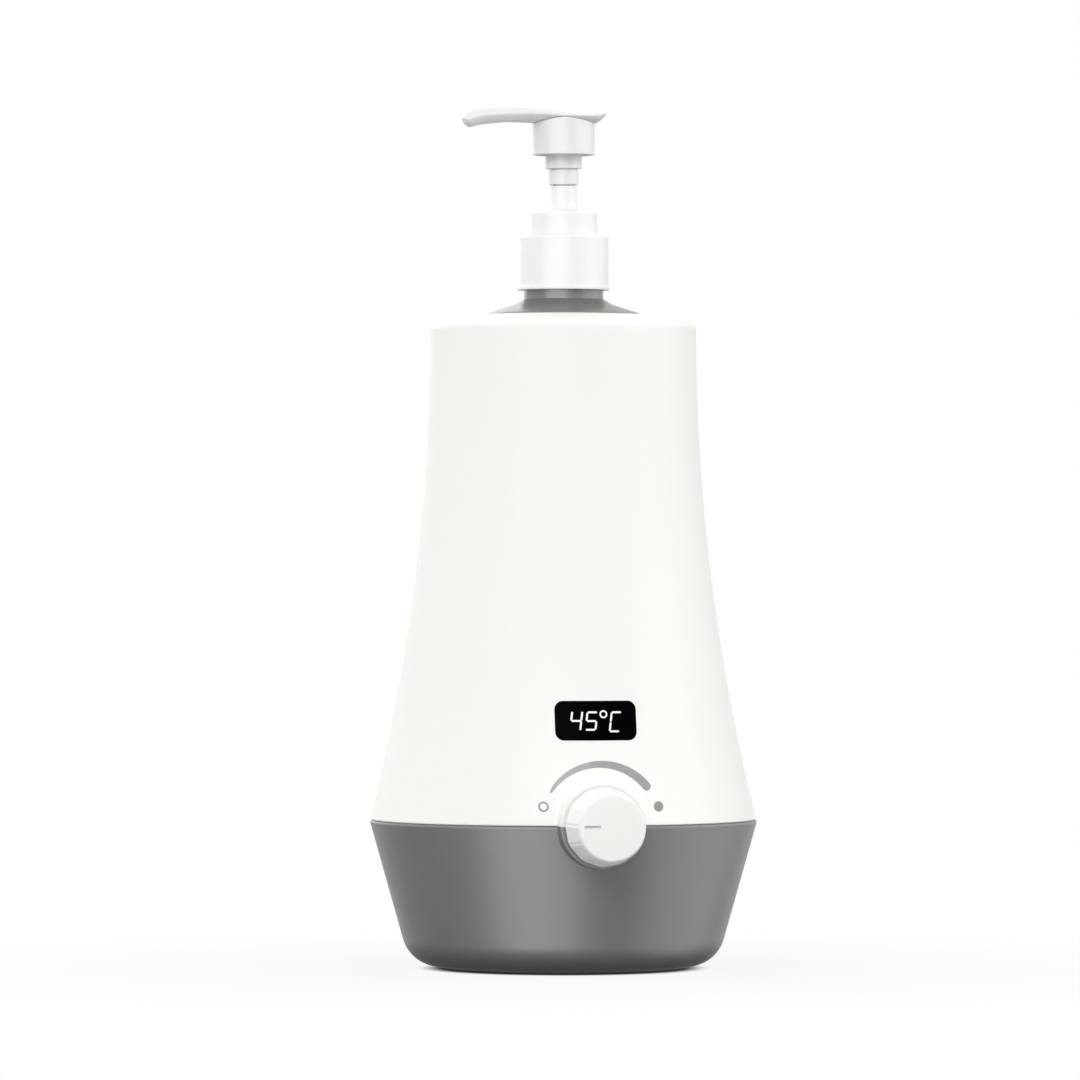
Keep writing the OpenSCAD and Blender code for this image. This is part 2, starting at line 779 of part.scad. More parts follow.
module stud_holes() for (x = [-1, 1]) translate([x * stud_pitch / 2, 0, cup_low_z - stud_l])
    cylinder(d = stud_d + 2 * run_gap, h = stud_l + over);

module thermal_cutout() {
    color([0.2, 0.19, 0.18]) difference() {
        union() {
            translate([0, 0, cup_low_z - cutout_h]) cylinder(d = cutout_d, h = cutout_h);
            translate([0, 0, cup_low_z - plate_t]) linear_extrude(plate_t)
                polygon(rounded_rect(stud_pitch + 2 * plate_end, plate_w, plate_end));
            for (y = [-1, 1])
                translate([-tab_w / 2, (y * tab_pitch - tab_t) / 2, cup_low_z - cutout_h - tab_l])
                    cube([tab_w, tab_t, tab_l + over]);
        }
        stud_holes();
    }
}

module temperature_sensor() {
    color([0.75, 0.68, 0.5]) difference() {
        translate([-stud_pitch / 2, 0, cup_low_z - 2 * plate_t]) {
            cylinder(r = sensor_eye_r, h = plate_t);
            translate([-sensor_arm_x, -sensor_arm_w / 2, 0]) cube([sensor_arm_l, sensor_arm_w, plate_t]);
            translate([-sensor_bead_x, 0, -sensor_bead_drop]) rotate([0, -90, 0])
                cylinder(r = sensor_bead_r, h = sensor_bead_l);
        }
        stud_holes();
    }
}

module cutout_nuts() {
    color("silver") difference() {
        for (x = [-1, 1]) translate([x * stud_pitch / 2, 0, cup_low_z - (x < 0 ? 2 : 1) * plate_t - nut_h])
            cylinder(d = nut_d, h = nut_h, $fn = 6);
        stud_holes();
    }
}

// Display and controls

module display_window() {
    color([0.02, 0.02, 0.02]) intersection() {
        turned(shell_outline);
        at_front(display_z) translate([0, 0, window_back]) prism(window_w, window_h, window_r, body_r);
    }
}

module display_module() color([0.1, 0.1, 0.1]) at_front(display_z)
    translate([0, 0, board_front]) prism(module_w, module_h, 0.6, module_t);

module front_board() {
    color([0.1, 0.35, 0.2]) translate([-board_w / 2, -board_front, board_low_z])
        cube([board_w, board_t, board_high_z - board_low_z]);
}

module potentiometer() {
    color([0.55, 0.56, 0.58]) at_front(seam_z) difference() {
        union() {
            translate([0, 0, board_front]) prism(pot_w, pot_h, 1, pot_t);
            cylinder_from(bushing_d / 2, board_front, pot_t + bushing_l);
        }
        cylinder_from(shaft_d / 2 + run_gap, board_front + pot_back_t, body_r);
    }
}

module cylinder_from(r, z, h) translate([0, 0, z]) cylinder(r = r, h = h);

module pot_shaft() {
    start = board_front + pot_back_t + shaft_back_gap;
    color([0.8, 0.8, 0.82]) at_front(seam_z)
        cylinder_from(shaft_d / 2, start, knob_front - knob_top_t - shaft_tip_gap - start);
}

// The knob, with its axis on Z and its back at z = 0.
module knob_body() {
    outline = rounded([
        [0, 0], [knob_d / 2, 0, knob_back_r], [knob_face_d / 2, knob_l, knob_edge_r], [0, knob_l]
    ]);
    flat_in = cos(180 / knob_flats);
    intersection() {
        turned(outline);
        // Flat sides that lean with the taper.
        difference() {
            cylinder(r = knob_d, h = knob_l);
            for (i = [0:knob_flats - 1]) rotate((i + 0.5) * 360 / knob_flats)
                translate([knob_d / 2 * (1 + flat_in) / 2, 0, 0]) rotate([0, -knob_taper, 0])
                    translate([0, -knob_d, -knob_l]) cube([knob_d, 2 * knob_d, 3 * knob_l]);
        }
    }
}

module pointer_groove() {
    reach = knob_face_d / 2 - knob_edge_r - pointer_margin;
    translate([-reach + pointer_l / 2, 0, knob_l - pointer_depth])
        prism(pointer_l, pointer_w, pointer_w / 2 - 0.01, pointer_depth + over);
}

module control_knob() {
    color([0.96, 0.95, 0.93]) at_front(seam_z) translate([0, 0, knob_back]) difference() {
        knob_body();
        pointer_groove();
        difference() {
            translate([0, 0, -over]) cylinder(
                r1 = knob_d / 2 - knob_wall + tan(knob_taper),
                r2 = knob_face_d / 2 - knob_wall, h = knob_l - knob_top_t + over);
            cylinder(r = hub_r, h = knob_l);
        }
        translate([0, 0, -over]) cylinder(r = shaft_d / 2 + run_gap, h = knob_l - knob_top_t + over);
    }
}

// Power

module power_board() {
    color([0.1, 0.35, 0.2]) difference() {
        translate([-power_w / 2, -power_l / 2, power_z]) cube([power_w, power_l, board_t]);
        at_corners(standoff_x, standoff_y) translate([0, 0, power_z - over])
            cylinder(r = board_screw_d / 2 + fit_gap, h = board_t + 2 * over);
    }
}

module board_screws() color("silver") at_corners(standoff_x, standoff_y)
    translate([0, 0, power_top_z]) mirror([0, 0, 1])
        screw(board_screw_d, small_head_d, small_head_h, board_t + board_screw_grip);

module transformer() {
    color([0.75, 0.62, 0.2]) translate(transformer_at) {
        translate([-core_w / 2, -core_d / 2, 0]) cube([core_w, core_d, core_h]);
        translate([-winding_w / 2, -winding_d / 2, (core_h - winding_h) / 2])
            cube([winding_w, winding_d, winding_h]);
    }
}

module filter_capacitor() color([0.12, 0.13, 0.3]) translate(capacitor_at) turned(rounded([
    [0, 0], [capacitor_r, 0, capacitor_edge_r], [capacitor_r, capacitor_h, capacitor_edge_r], [0, capacitor_h]
]));

module heater_relay() color([0.15, 0.3, 0.55]) translate(relay_at)
    prism(relay_w, relay_d, relay_edge_r, relay_h);

module terminal_block() {
    color([0.15, 0.45, 0.25]) translate(terminal_at) difference() {
        translate([-terminal_w / 2, -terminal_d / 2, 0]) cube([terminal_w, terminal_d, terminal_h]);
        for (x = [-1, 1]) translate([x * terminal_pitch / 2, 0, terminal_h - terminal_screw_depth])
            cylinder(d = terminal_screw_d, h = terminal_h);
    }
}

module stadium(w, h, l) prism(w, h, h / 2 - 0.01, l);

module mains_inlet() {
    color([0.12, 0.12, 0.12]) at_back(inlet_z) difference() {
        union() {
            translate([0, 0, pocket_y]) prism(inlet_w, inlet_h, inlet_corner_r, inlet_flange_t);
            translate([0, 0, pocket_y - inlet_body_l])
                prism(inlet_body_w, inlet_body_h, inlet_body_r, inlet_body_l + inlet_flange_t / 2);
        }
        translate([0, 0, pocket_y + inlet_flange_t - socket_l]) stadium(socket_w, socket_h, socket_l + over);
        for (x = [-1, 1]) translate([x * pin_pitch / 2, 0, 0])
            cylinder(d = pin_d + 2 * run_gap, h = pocket_y);
    }
}

module inlet_pins() {
    color([0.85, 0.72, 0.4]) at_back(inlet_z) for (x = [-1, 1])
        translate([x * pin_pitch / 2, 0, pocket_y - inlet_body_l - pin_tail])
            cylinder(d = pin_d, h = pin_tail + inlet_body_l + inlet_flange_t - socket_l + pin_l);
}

module mains_leads() color([0.35, 0.2, 0.1]) {
    lead(mains_route, lead_d);
    lead([for (p = mains_route) [-p[0], p[1], p[2]]], lead_d);
}

module heater_leads() color([0.9, 0.88, 0.8])
    for (i = [0, 1]) lead(moved(heater_route, i * heater_step), lead_d);

module sensor_lead() color([0.1, 0.1, 0.1]) lead(sensor_route, lead_d);

module signal_ribbon() color([0.7, 0.7, 0.72])
    for (i = [-2:2]) lead(moved(ribbon_route, [i * ribbon_pitch, 0, 0]), ribbon_wire_d, 6);

// Bottle

heel_r = 3;
shoulder_r = 1.5;
shoulder_lift = 0.1;
throat_r = 6;
throat_w = 3.2;
throat_rise = 1.2;
neck_ring_r = 0.4;

bottle_outline = rounded([
    [0, well_floor_z],
    [bottle_r, well_floor_z, heel_r],
    [bottle_r, rim_z + shoulder_lift, shoulder_r],
    [neck_r + throat_w, neck_base_z - shoulder_rise * 0.18, throat_r],
    [neck_r, neck_base_z + throat_rise],
    [neck_r, neck_ring_top_z, neck_ring_r],
    [thread_root_r, neck_ring_top_z],
    [thread_root_r, land_z],
    [0, land_z]
]);

bottle_hollow = rounded([
    [0, well_floor_z + bottle_wall],
    [bottle_r - bottle_wall, well_floor_z + bottle_wall, heel_r - bottle_wall / 2],
    [bottle_r - bottle_wall, rim_z - bottle_wall, shoulder_r],
    [neck_bore_d / 2, neck_base_z - bottle_wall, shoulder_r],
    [neck_bore_d / 2, land_z + over],
    [0, land_z + over]
]);

module bottle() {
    color([0.5, 0.5, 0.5]) {
        rotate_extrude() difference() {
            polygon(bottle_outline);
            polygon(bottle_hollow);
        }
        ridge([
            [thread_root_r - ridge_sink, ridge_base_w / 2], [thread_crest_r, ridge_w / 2],
            [thread_crest_r, -ridge_w / 2], [thread_root_r - ridge_sink, -ridge_base_w / 2]
        ], thread_pitch, thread_turns, thread_low_z);
    }
}

// Pump

module pump_cylinder() {
    z0 = cylinder_low_z;
    z1 = z0 - ball_chamber_l;
    z2 = z1 - seat_cone_l;
    z3 = z2 - inlet_bore_l;
    z4 = z3 - tube_socket_l;
    nose_r = tube_socket_r + nose_wall;
    color([0.93, 0.93, 0.93]) turned([
        [cylinder_r, cylinder_top_z], [cylinder_r, z0], [ball_chamber_r, z0], [ball_chamber_r, z1],
        [inlet_bore_r, z2], [inlet_bore_r, z3], [tube_socket_r, z3], [tube_socket_r, z4],
        [nose_r, z4], [nose_r, z2], [cylinder_out_r, z0 - cylinder_taper_l],
        [cylinder_out_r, flange_top_z - flange_t],
        [flange_r, flange_top_z - flange_t], [flange_r, flange_top_z], [cylinder_out_r, flange_top_z],
        [cylinder_out_r, cylinder_top_z]
    ]);
}

module lock_ring() {
    snap_r = cylinder_out_r + run_gap;
    stop_tube_r = cylinder_r - fit_gap;
    snap_z = cylinder_top_z + fit_gap;
    color([0.96, 0.96, 0.96]) turned(concat(
        [[lock_bore_r, piston_top_z + fit_gap], [stop_tube_r, piston_top_z + fit_gap], [stop_tube_r, snap_z],
        [snap_r, snap_z], [snap_r, flange_top_z], [lock_r, flange_top_z]],
        corner([lock_r, flange_top_z], [lock_r, lock_top_z, lock_edge_r], [0, lock_top_z]),
        [[lock_bore_r, lock_top_z]]
    ));
}

module neck_gasket() color([0.85, 0.84, 0.8])
    ring(flange_r, neck_bore_d / 2 + fit_gap, land_z, neck_gasket_t);

module dip_tube() color([0.9, 0.92, 0.92]) {
    top_z = cylinder_low_z - ball_chamber_l - seat_cone_l - inlet_bore_l;
    low_z = well_floor_z + bottle_wall + tube_foot_gap;
    ring(dip_tube_d / 2, dip_tube_d / 2 - tube_wall, low_z, top_z - low_z);
}

module inlet_ball() {
    half = atan((ball_chamber_r - inlet_bore_r) / seat_cone_l);
    apex_z = cylinder_low_z - ball_chamber_l - seat_cone_l - inlet_bore_r / tan(half);
    color("silver") translate([0, 0, apex_z + (ball_d / 2 + run_gap) / sin(half)]) sphere(d = ball_d);
}

module return_spring() {
    rings = spring_turns * 10;
    sides = 6;
    rise = spring_high_z - spring_low_z;
    wire_r = spring_wire_d / 2;
    points = [for (i = [0:rings], j = [0:sides - 1])
        let (a = 360 * spring_turns * i / rings, b = -360 * j / sides, r = spring_r + wire_r * cos(b))
        [r * cos(a), r * sin(a), spring_low_z + rise * i / rings + wire_r * sin(b)]];
    color([0.7, 0.71, 0.72]) polyhedron(points, tube_faces(rings + 1, sides));
}

module screw_collar() {
    plate_z = collar_top_z - collar_top_t;
    bead_r = collar_r + collar_bead;
    bead_top_z = collar_z + collar_bead_h;
    color([0.97, 0.97, 0.97]) {
        turned(rounded([
            [collar_bore_r, collar_z], [bead_r, collar_z], [bead_r, bead_top_z, collar_bead_r],
            [collar_r, bead_top_z + collar_bead_r], [collar_r, collar_top_z, collar_edge_r],
            [lock_r + fit_gap, collar_top_z], [lock_r + fit_gap, plate_z], [collar_bore_r, plate_z]
        ]));
        ridge([
            [collar_bore_r + ridge_sink, -ridge_base_w / 2], [collar_crest_r, -ridge_w / 2],
            [collar_crest_r, ridge_w / 2], [collar_bore_r + ridge_sink, ridge_base_w / 2]
        ], thread_pitch, collar_turns, thread_low_z - thread_pitch / 2);
    }
}

module pump_stem() {
    spigot_z = piston_top_z - piston_h + 1;
    color([0.97, 0.97, 0.97]) turned([
        [stem_bore_r, spigot_z], [spigot_r, spigot_z], [spigot_r, piston_top_z], [stem_r, piston_top_z],
        [stem_r, stem_top_z], [stem_bore_r, stem_top_z]
    ]);
}

module piston() {
    seal_r = cylinder_r - run_gap;
    low_z = piston_top_z - piston_h;
    bore_r = spigot_r + run_gap;
    color([0.9, 0.9, 0.85]) turned([
        [bore_r, low_z], [seal_r, low_z], [seal_r, low_z + piston_lip_h],
        [seal_r - piston_waist, low_z + piston_waist_h],
        [seal_r - piston_waist, piston_top_z - piston_waist_h],
        [seal_r, piston_top_z - piston_lip_h], [seal_r, piston_top_z], [bore_r, piston_top_z]
    ]);
}

// The head's top plate and spout run along X. Each station is [x, edge, top, bottom, half width]. The
// heights are shares of the plate's rise above the head's cylinder, and the half widths are shares of the
// head's radius. The edge is where the crowned top meets the rounded underside.
spout_rise = 5.5;
spout_stations = [
    [-spout_reach, 0.1, 0.4, -0.18, 0.22],
    [-spout_reach * 0.98, 0.2, 0.55, -0.27, 0.33],
    [-spout_reach * 0.91, 0.33, 0.76, -0.22, 0.38],
    [-spout_reach * 0.79, 0.5, 0.92, -0.08, 0.43],
    [-spout_reach * 0.57, 0.62, 1, 0.05, 0.49],
    [-spout_reach * 0.43, 0.64, 0.98, 0.03, 0.6],
    [-head_r, 0.6, 0.9, 0.01, 0.79],
    [-head_r * 0.5, 0.52, 0.8, 0, 0.95],
    [head_r * 0.1, 0.44, 0.71, 0, 1.01],
    [head_r * 0.6, 0.44, 0.66, 0, 0.96],
    [head_r, 0.48, 0.64, 0.01, 0.81],
    [head_r * 1.23, 0.57, 0.64, 0.29, 0.63],
    [head_r * 1.34, 0.6, 0.63, 0.55, 0.45]
];
spout_sides = 20;
spout_smooth = 3;

// A smooth curve through the points of a list: the point at step t of the stretch after p1.
function through(p0, p1, p2, p3, t) =
    let (a = p2 - p0, b = 2 * p0 - 5 * p1 + 4 * p2 - p3, c = 3 * p1 - p0 - 3 * p2 + p3)
    p1 + (a * t + b * t * t + c * t * t * t) / 2;

function smoothed(list, steps) =
    let (last = len(list) - 1)
    concat([for (i = [0:last - 1], j = [0:steps - 1])
        through(list[max(i - 1, 0)], list[i], list[i + 1], list[min(i + 2, last)], j / steps)], [list[last]]);

// One point of the plate's section at a station: above the edge it lies on the crown, below it on the
// underside.
function plate_point(s, a) =
    let (c = cos(a), d = sin(a), reach = d > 0 ? s[2] - s[1] : s[1] - s[3])
    [s[0], head_r * s[4] * sign(c) * pow(abs(c), 0.85), head_top_z + spout_rise * (s[1] + reach * d)];

module spout_plate() {
    rings = smoothed(spout_stations, spout_smooth);
    polyhedron([for (s = rings, j = [0:spout_sides - 1]) plate_point(s, 360 * j / spout_sides)],
        tube_faces(len(rings), spout_sides));
}

module pump_head() {
    channel_z = head_top_z + spout_rise * 0.3;
    channel_r = spout_rise / 4;
    color([0.96, 0.96, 0.96]) difference() {
        union() {
            spout_plate();
            turned([
                [0, head_top_z - head_crown_t], [head_r - head_skirt_t, head_top_z - head_crown_t],
                [head_r - head_skirt_t, head_z], [head_r, head_z],
                [head_r, head_top_z + head_lap], [0, head_top_z + head_lap]
            ]);
            turned([
                [0, guide_z], [guide_low_r, guide_z], [guide_top_r, stop_z], [stop_r, stop_z],
                [stop_r, head_top_z], [0, head_top_z]
            ]);
        }
        translate([0, 0, guide_z - over])
            cylinder(r = stem_r + run_gap, h = stem_top_z + head_bore_gap - guide_z + over);
        cylinder_from(stem_bore_r, guide_z, channel_z - guide_z);
        translate([0, 0, channel_z]) rotate([0, -90 - 2.6, 0]) cylinder(r = channel_r, h = spout_reach + over);
    }
}

base_bowl();
body_shell();
foot_ring();
housing_screws();
heating_cup();
well_gasket();
clamp_ring();
clamp_screws();
heater_band();
thermal_cutout();
temperature_sensor();
cutout_nuts();
display_window();
display_module();
front_board();
potentiometer();
power_board();
board_screws();
transformer();
filter_capacitor();
heater_relay();
terminal_block();
mains_inlet();
inlet_pins();
mains_leads();
heater_leads();
sensor_lead();
signal_ribbon();
control_knob();
pot_shaft();
bottle();
pump_cylinder();
lock_ring();
neck_gasket();
dip_tube();
inlet_ball();
return_spring();
screw_collar();
pump_stem();
piston();
pump_head();
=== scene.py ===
# %% [markdown]
# This lesson dresses a massage oil warmer: a pump bottle that stands in a heated well, in a housing of a
# white flared shell on a grey bowl, with a round knob and a small lit display in front.
# The CAD model is loaded first and never moved. Each visible piece is then modelled again with smoother
# walls and softer edges, in metres and in the same frame, and rides on the CAD body that it belongs to.

# %% Load the frame
import math

import bmesh
import bpy
import numpy as np
from mathutils import Matrix, Vector


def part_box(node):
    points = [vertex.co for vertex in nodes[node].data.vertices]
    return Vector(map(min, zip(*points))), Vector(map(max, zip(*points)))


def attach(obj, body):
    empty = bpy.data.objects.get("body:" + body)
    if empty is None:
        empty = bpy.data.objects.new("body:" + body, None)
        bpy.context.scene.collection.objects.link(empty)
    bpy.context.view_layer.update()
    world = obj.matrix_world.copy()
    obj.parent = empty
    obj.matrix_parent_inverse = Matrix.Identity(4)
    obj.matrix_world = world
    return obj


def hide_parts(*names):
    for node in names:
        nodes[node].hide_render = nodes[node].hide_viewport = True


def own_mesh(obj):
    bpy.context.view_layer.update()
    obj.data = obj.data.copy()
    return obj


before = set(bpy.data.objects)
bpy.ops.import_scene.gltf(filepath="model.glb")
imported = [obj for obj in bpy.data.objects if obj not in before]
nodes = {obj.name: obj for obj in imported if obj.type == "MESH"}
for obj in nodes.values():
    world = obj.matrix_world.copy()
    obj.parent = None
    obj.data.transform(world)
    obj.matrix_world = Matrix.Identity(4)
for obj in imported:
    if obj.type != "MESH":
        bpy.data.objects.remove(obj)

MM = 0.001
scene = bpy.context.scene
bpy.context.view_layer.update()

# %% [markdown]
# Sizes come from the frame where the frame shows them: the levels of the seam, the rim, the collar and the
# head are corners of CAD boxes. They could be typed in again, but a change to the part would then leave its
# dress behind. Only what a box can't say, such as the radius of an edge, is written here.


# %% Levels read from the frame, in millimetres
def box_mm(node):
    """Lowest and highest corner of a CAD node, in millimetres."""
    low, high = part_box(node)
    return low / MM, high / MM


SEAM_GAP = 0.4
SHOWN_GAP = 0.08
WALL = 2.4
BODY_R, TOP_R, RIM_R = 67.5, 46.5, 28.0
shell_low, shell_high = box_mm("body_shell")
bowl_low, bowl_high = box_mm("base_bowl")
seam_z = shell_low.z - SEAM_GAP / 2
shell_foot_z = seam_z + SHOWN_GAP / 2
bowl_rim_z = seam_z - SHOWN_GAP / 2
rim_z = shell_high.z
print("seam", round(seam_z, 2), "rim", round(rim_z, 2))

# %% [markdown]
# The photograph is a long-lens product shot: the camera is level, about half way up the object, and stands
# a little to the left of the front. A long lens far away keeps the sides almost parallel, which a short lens
# close by would not, so the distance was chosen first and the lens then fitted to the frame.

# %% Camera
CAMERA_TURN = -10.8
CAMERA_DISTANCE = 2.718
CAMERA_HEIGHT = 0.1498
CAMERA_SIDESTEP = 0.0082
CAMERA_REACH = 50
LENS = 258.8
SENSOR = 36.0


def from_front(turn):
    """A level unit direction, turned by degrees from the front (-Y) towards +X."""
    a = math.radians(turn)
    return Vector((math.sin(a), -math.cos(a), 0))


toward_camera = from_front(CAMERA_TURN)
camera_right = Vector((-toward_camera.y, toward_camera.x, 0))
camera_data = bpy.data.cameras.new("photo_camera")
camera_data.lens = LENS
camera_data.sensor_width = SENSOR
camera_data.clip_end = CAMERA_REACH
camera = bpy.data.objects.new("photo_camera", camera_data)
camera.location = toward_camera * CAMERA_DISTANCE - camera_right * CAMERA_SIDESTEP
camera.location.z = CAMERA_HEIGHT
camera.rotation_euler = (-toward_camera).to_track_quat("-Z", "Y").to_euler()
scene.collection.objects.link(camera)
scene.camera = camera
print("camera at", [round(x, 3) for x in camera.location])

# %% [markdown]
# Small helpers for node trees. Shader trees and geometry trees are wired in the same way, so the same
# functions serve both: one adds a node, one feeds a socket with a link or a value, one does sums, and one
# makes a smooth change between two limits.


# %% Wiring helpers
def add_node(tree, kind, **settings):
    made = tree.nodes.new(kind)
    for key, value in settings.items():
        setattr(made, key, value)
    return made


def feed(tree, socket, source):
    """Links a socket to another socket, or sets its own value."""
    if isinstance(source, bpy.types.NodeSocket):
        tree.links.new(source, socket)
    else:
        socket.default_value = source


def calc(tree, operation, *terms):
    made = add_node(tree, "ShaderNodeMath", operation=operation)
    for socket, term in zip(made.inputs, terms):
        feed(tree, socket, term)
    return made.outputs[0]


def soft_step(tree, value, low, high, to_low=0.0, to_high=1.0):
    """A smooth change from one value to another between two limits."""
    made = add_node(tree, "ShaderNodeMapRange", interpolation_type="SMOOTHSTEP")
    labels = ("Value", "From Min", "From Max", "To Min", "To Max")
    for label, part in zip(labels, (value, low, high, to_low, to_high)):
        feed(tree, made.inputs[label], part)
    return made.outputs["Result"]


def kinds_of_ray(tree):
    """Two masks: rays from the camera, and rays that a mirror or a glass sends on."""
    path = add_node(tree, "ShaderNodeLightPath")
    mirrored = calc(tree, "MAXIMUM", path.outputs["Is Glossy Ray"], path.outputs["Is Transmission Ray"])
    return path.outputs["Is Camera Ray"], mirrored


# %% [markdown]
# The stage is a plain white studio. The background could be made white with more light, but that would burn
# out the white shell, so the world is simply white to the camera and gives the object only a soft fill. To
# everything but the camera it darkens below the table's level and towards the ceiling, as a room does.

# %% World
FILL = 0.35
DARK_BELOW, LIGHT_ABOVE = -0.4, -0.05
UNDER_TABLE = 0.15
WALL_TOP, CEILING_FROM = 0.3, 0.85
CEILING = 0.7
world = bpy.data.worlds.new("white_studio")
scene.world = world
world.use_nodes = True
tree = world.node_tree
background = tree.nodes["Background"]
background.inputs["Color"].default_value = (1, 1, 1, 1)
direction = add_node(tree, "ShaderNodeSeparateXYZ")
feed(tree, direction.inputs[0], add_node(tree, "ShaderNodeTexCoord").outputs["Generated"])
up = direction.outputs["Z"]
direct, mirrored = kinds_of_ray(tree)
level = calc(tree, "MULTIPLY_ADD", mirrored, 1 - FILL, FILL)
below = soft_step(tree, up, DARK_BELOW, LIGHT_ABOVE, UNDER_TABLE, 1.0)
above = soft_step(tree, up, WALL_TOP, CEILING_FROM, 1.0, CEILING)
around = calc(tree, "MULTIPLY", level, calc(tree, "MULTIPLY", below, above))
feed(tree, background.inputs["Strength"], calc(tree, "MAXIMUM", around, direct))
print("world:", world.name)

# %% [markdown]
# The floor is matt and pale, and bounces light up at the bowl. To the camera it also glows white, fully so
# away from the object and less near it, so that only the contact shadow is left on it. It isn't mirrored in
# the bowl and throws no shadow, so the lamps that hang partly below its level still reach the object.

# %% Floor finish
FLOOR_TONE = (0.5, 0.5, 0.5, 1)
FLOOR_GLOW = 0.9
SHADOW_NEAR, SHADOW_FAR = 0.05, 0.3
UNDER_BASE, PAST_BASE = 0.042, 0.052
floor_finish = bpy.data.materials.new("pale_floor")
floor_finish.use_nodes = True
tree = floor_finish.node_tree
tree.nodes.clear()
matt = add_node(tree, "ShaderNodeBsdfDiffuse")
matt.inputs["Color"].default_value = FLOOR_TONE
glow = add_node(tree, "ShaderNodeEmission")
both = add_node(tree, "ShaderNodeMixShader")
far = add_node(tree, "ShaderNodeVectorMath", operation="LENGTH")
feed(tree, far.inputs[0], add_node(tree, "ShaderNodeTexCoord").outputs["Object"])
close_by = soft_step(tree, far.outputs["Value"], UNDER_BASE, PAST_BASE, 0.0, FLOOR_GLOW)
away = soft_step(tree, far.outputs["Value"], SHADOW_NEAR, SHADOW_FAR, close_by, 1.0)
shown = calc(tree, "MAXIMUM", *kinds_of_ray(tree))
feed(tree, both.inputs[0], calc(tree, "MULTIPLY", shown, away))
tree.links.new(matt.outputs[0], both.inputs[1])
tree.links.new(glow.outputs[0], both.inputs[2])
tree.links.new(both.outputs[0], add_node(tree, "ShaderNodeOutputMaterial").inputs["Surface"])
print("floor finish:", floor_finish.name)

# %% Floor
FLOOR_HALF = 6.0
FLOOR_DROP = 0.00002
corners = [(x * FLOOR_HALF, y * FLOOR_HALF, -FLOOR_DROP) for x, y in ((-1, -1), (1, -1), (1, 1), (-1, 1))]
floor_mesh = bpy.data.meshes.new("floor")
floor_mesh.from_pydata(corners, [], [(0, 1, 2, 3)])
floor_mesh.materials.append(floor_finish)
floor = bpy.data.objects.new("floor", floor_mesh)
scene.collection.objects.link(floor)
for kind in ("glossy", "transmission", "shadow"):
    setattr(floor, "visible_" + kind, False)
print("floor:", 2 * FLOOR_HALF, "m square")

# %% [markdown]
# Large boxes light the object but aren't mirrored in it, and strips are mirrored but don't light it. One set
# of lamps could do both, but then each change of a band on the bowl would also change the shading of the
# shell. A band on a wall that faces an angle away from the camera mirrors a strip at twice that angle.


# %% Soft boxes and strips
# Each lamp: its name, turn from the camera, lift, width, height and watts.
STAND = 2.2
LAMPS = (
    ("key_box", -10, 42, 2.2, 1.6, 32.4),
    ("right_box", 84, 27, 1.6, 1.6, 19.5),
    ("left_box", -105, 27, 1.6, 1.6, 19.5),
    ("back_box", 180, 30, 1.6, 1.6, 14),
    ("low_box", 30, -8, 1.0, 1.0, 3),
)
STRIPS = (
    ("front_strip", -19, -3, 2.7, 4.2, 84),
    ("right_strip", 90, -3, 2.8, 4.2, 42),
    ("back_strip", -155, 19, 1.6, 1.3, 7.5),
)


def soft_box(name, turn, lift, width, height, watts):
    """A flat lamp that faces the object's middle, turned from the camera's direction and lifted."""
    data = bpy.data.lights.new(name, "AREA")
    data.shape = "RECTANGLE"
    data.size = width
    data.size_y = height
    data.energy = watts
    lamp = bpy.data.objects.new(name, data)
    up = math.radians(lift)
    middle = Vector((0, 0, CAMERA_HEIGHT))
    aim = from_front(CAMERA_TURN + turn) * math.cos(up) + Vector((0, 0, math.sin(up)))
    lamp.location = middle + STAND * aim
    lamp.rotation_euler = (middle - lamp.location).to_track_quat("-Z", "Y").to_euler()
    lamp.visible_camera = False
    scene.collection.objects.link(lamp)
    return lamp


for lamp in LAMPS:
    soft_box(*lamp).visible_glossy = False
for strip in STRIPS:
    soft_box(*strip).visible_diffuse = False

# %% [markdown]
# Every finish is built from four shared effects. Each could be drawn again in every material, but a shader
# node group is made once and placed in a material with its own values. Moulded grain is the fine
# spark-eroded texture of an injection mould. Tone drift is the slow change of shade in a large moulding.


# %% Groups and noise
def new_group(name, inputs, outputs):
    """An empty shader group with named sockets, and its input and output nodes."""
    group = bpy.data.node_groups.new(name, "ShaderNodeTree")
    for direction, sockets in (("INPUT", inputs), ("OUTPUT", outputs)):
        for label, kind in sockets:
            group.interface.new_socket(label, in_out=direction, socket_type="NodeSocket" + kind)
    return group, add_node(group, "NodeGroupInput").outputs, add_node(group, "NodeGroupOutput").inputs


def noise(tree, vector, scale, detail):
    made = add_node(tree, "ShaderNodeTexNoise")
    feed(tree, made.inputs["Vector"], vector)
    feed(tree, made.inputs["Scale"], scale)
    made.inputs["Detail"].default_value = detail
    return made.outputs[0]


# %% Grain and drift
NOISE_MEAN = 0.5
COARSE = 0.03
grain, given, gives = new_group(
    "moulded_grain", [("Vector", "Vector"), ("Scale", "Float")], [("Height", "Float"), ("Gloss", "Float")])
fine = noise(grain, given["Vector"], given["Scale"], 2)
coarse = noise(grain, given["Vector"], calc(grain, "MULTIPLY", given["Scale"], COARSE), 3)
feed(grain, gives["Height"], fine)
feed(grain, gives["Gloss"], calc(grain, "SUBTRACT", coarse, NOISE_MEAN))

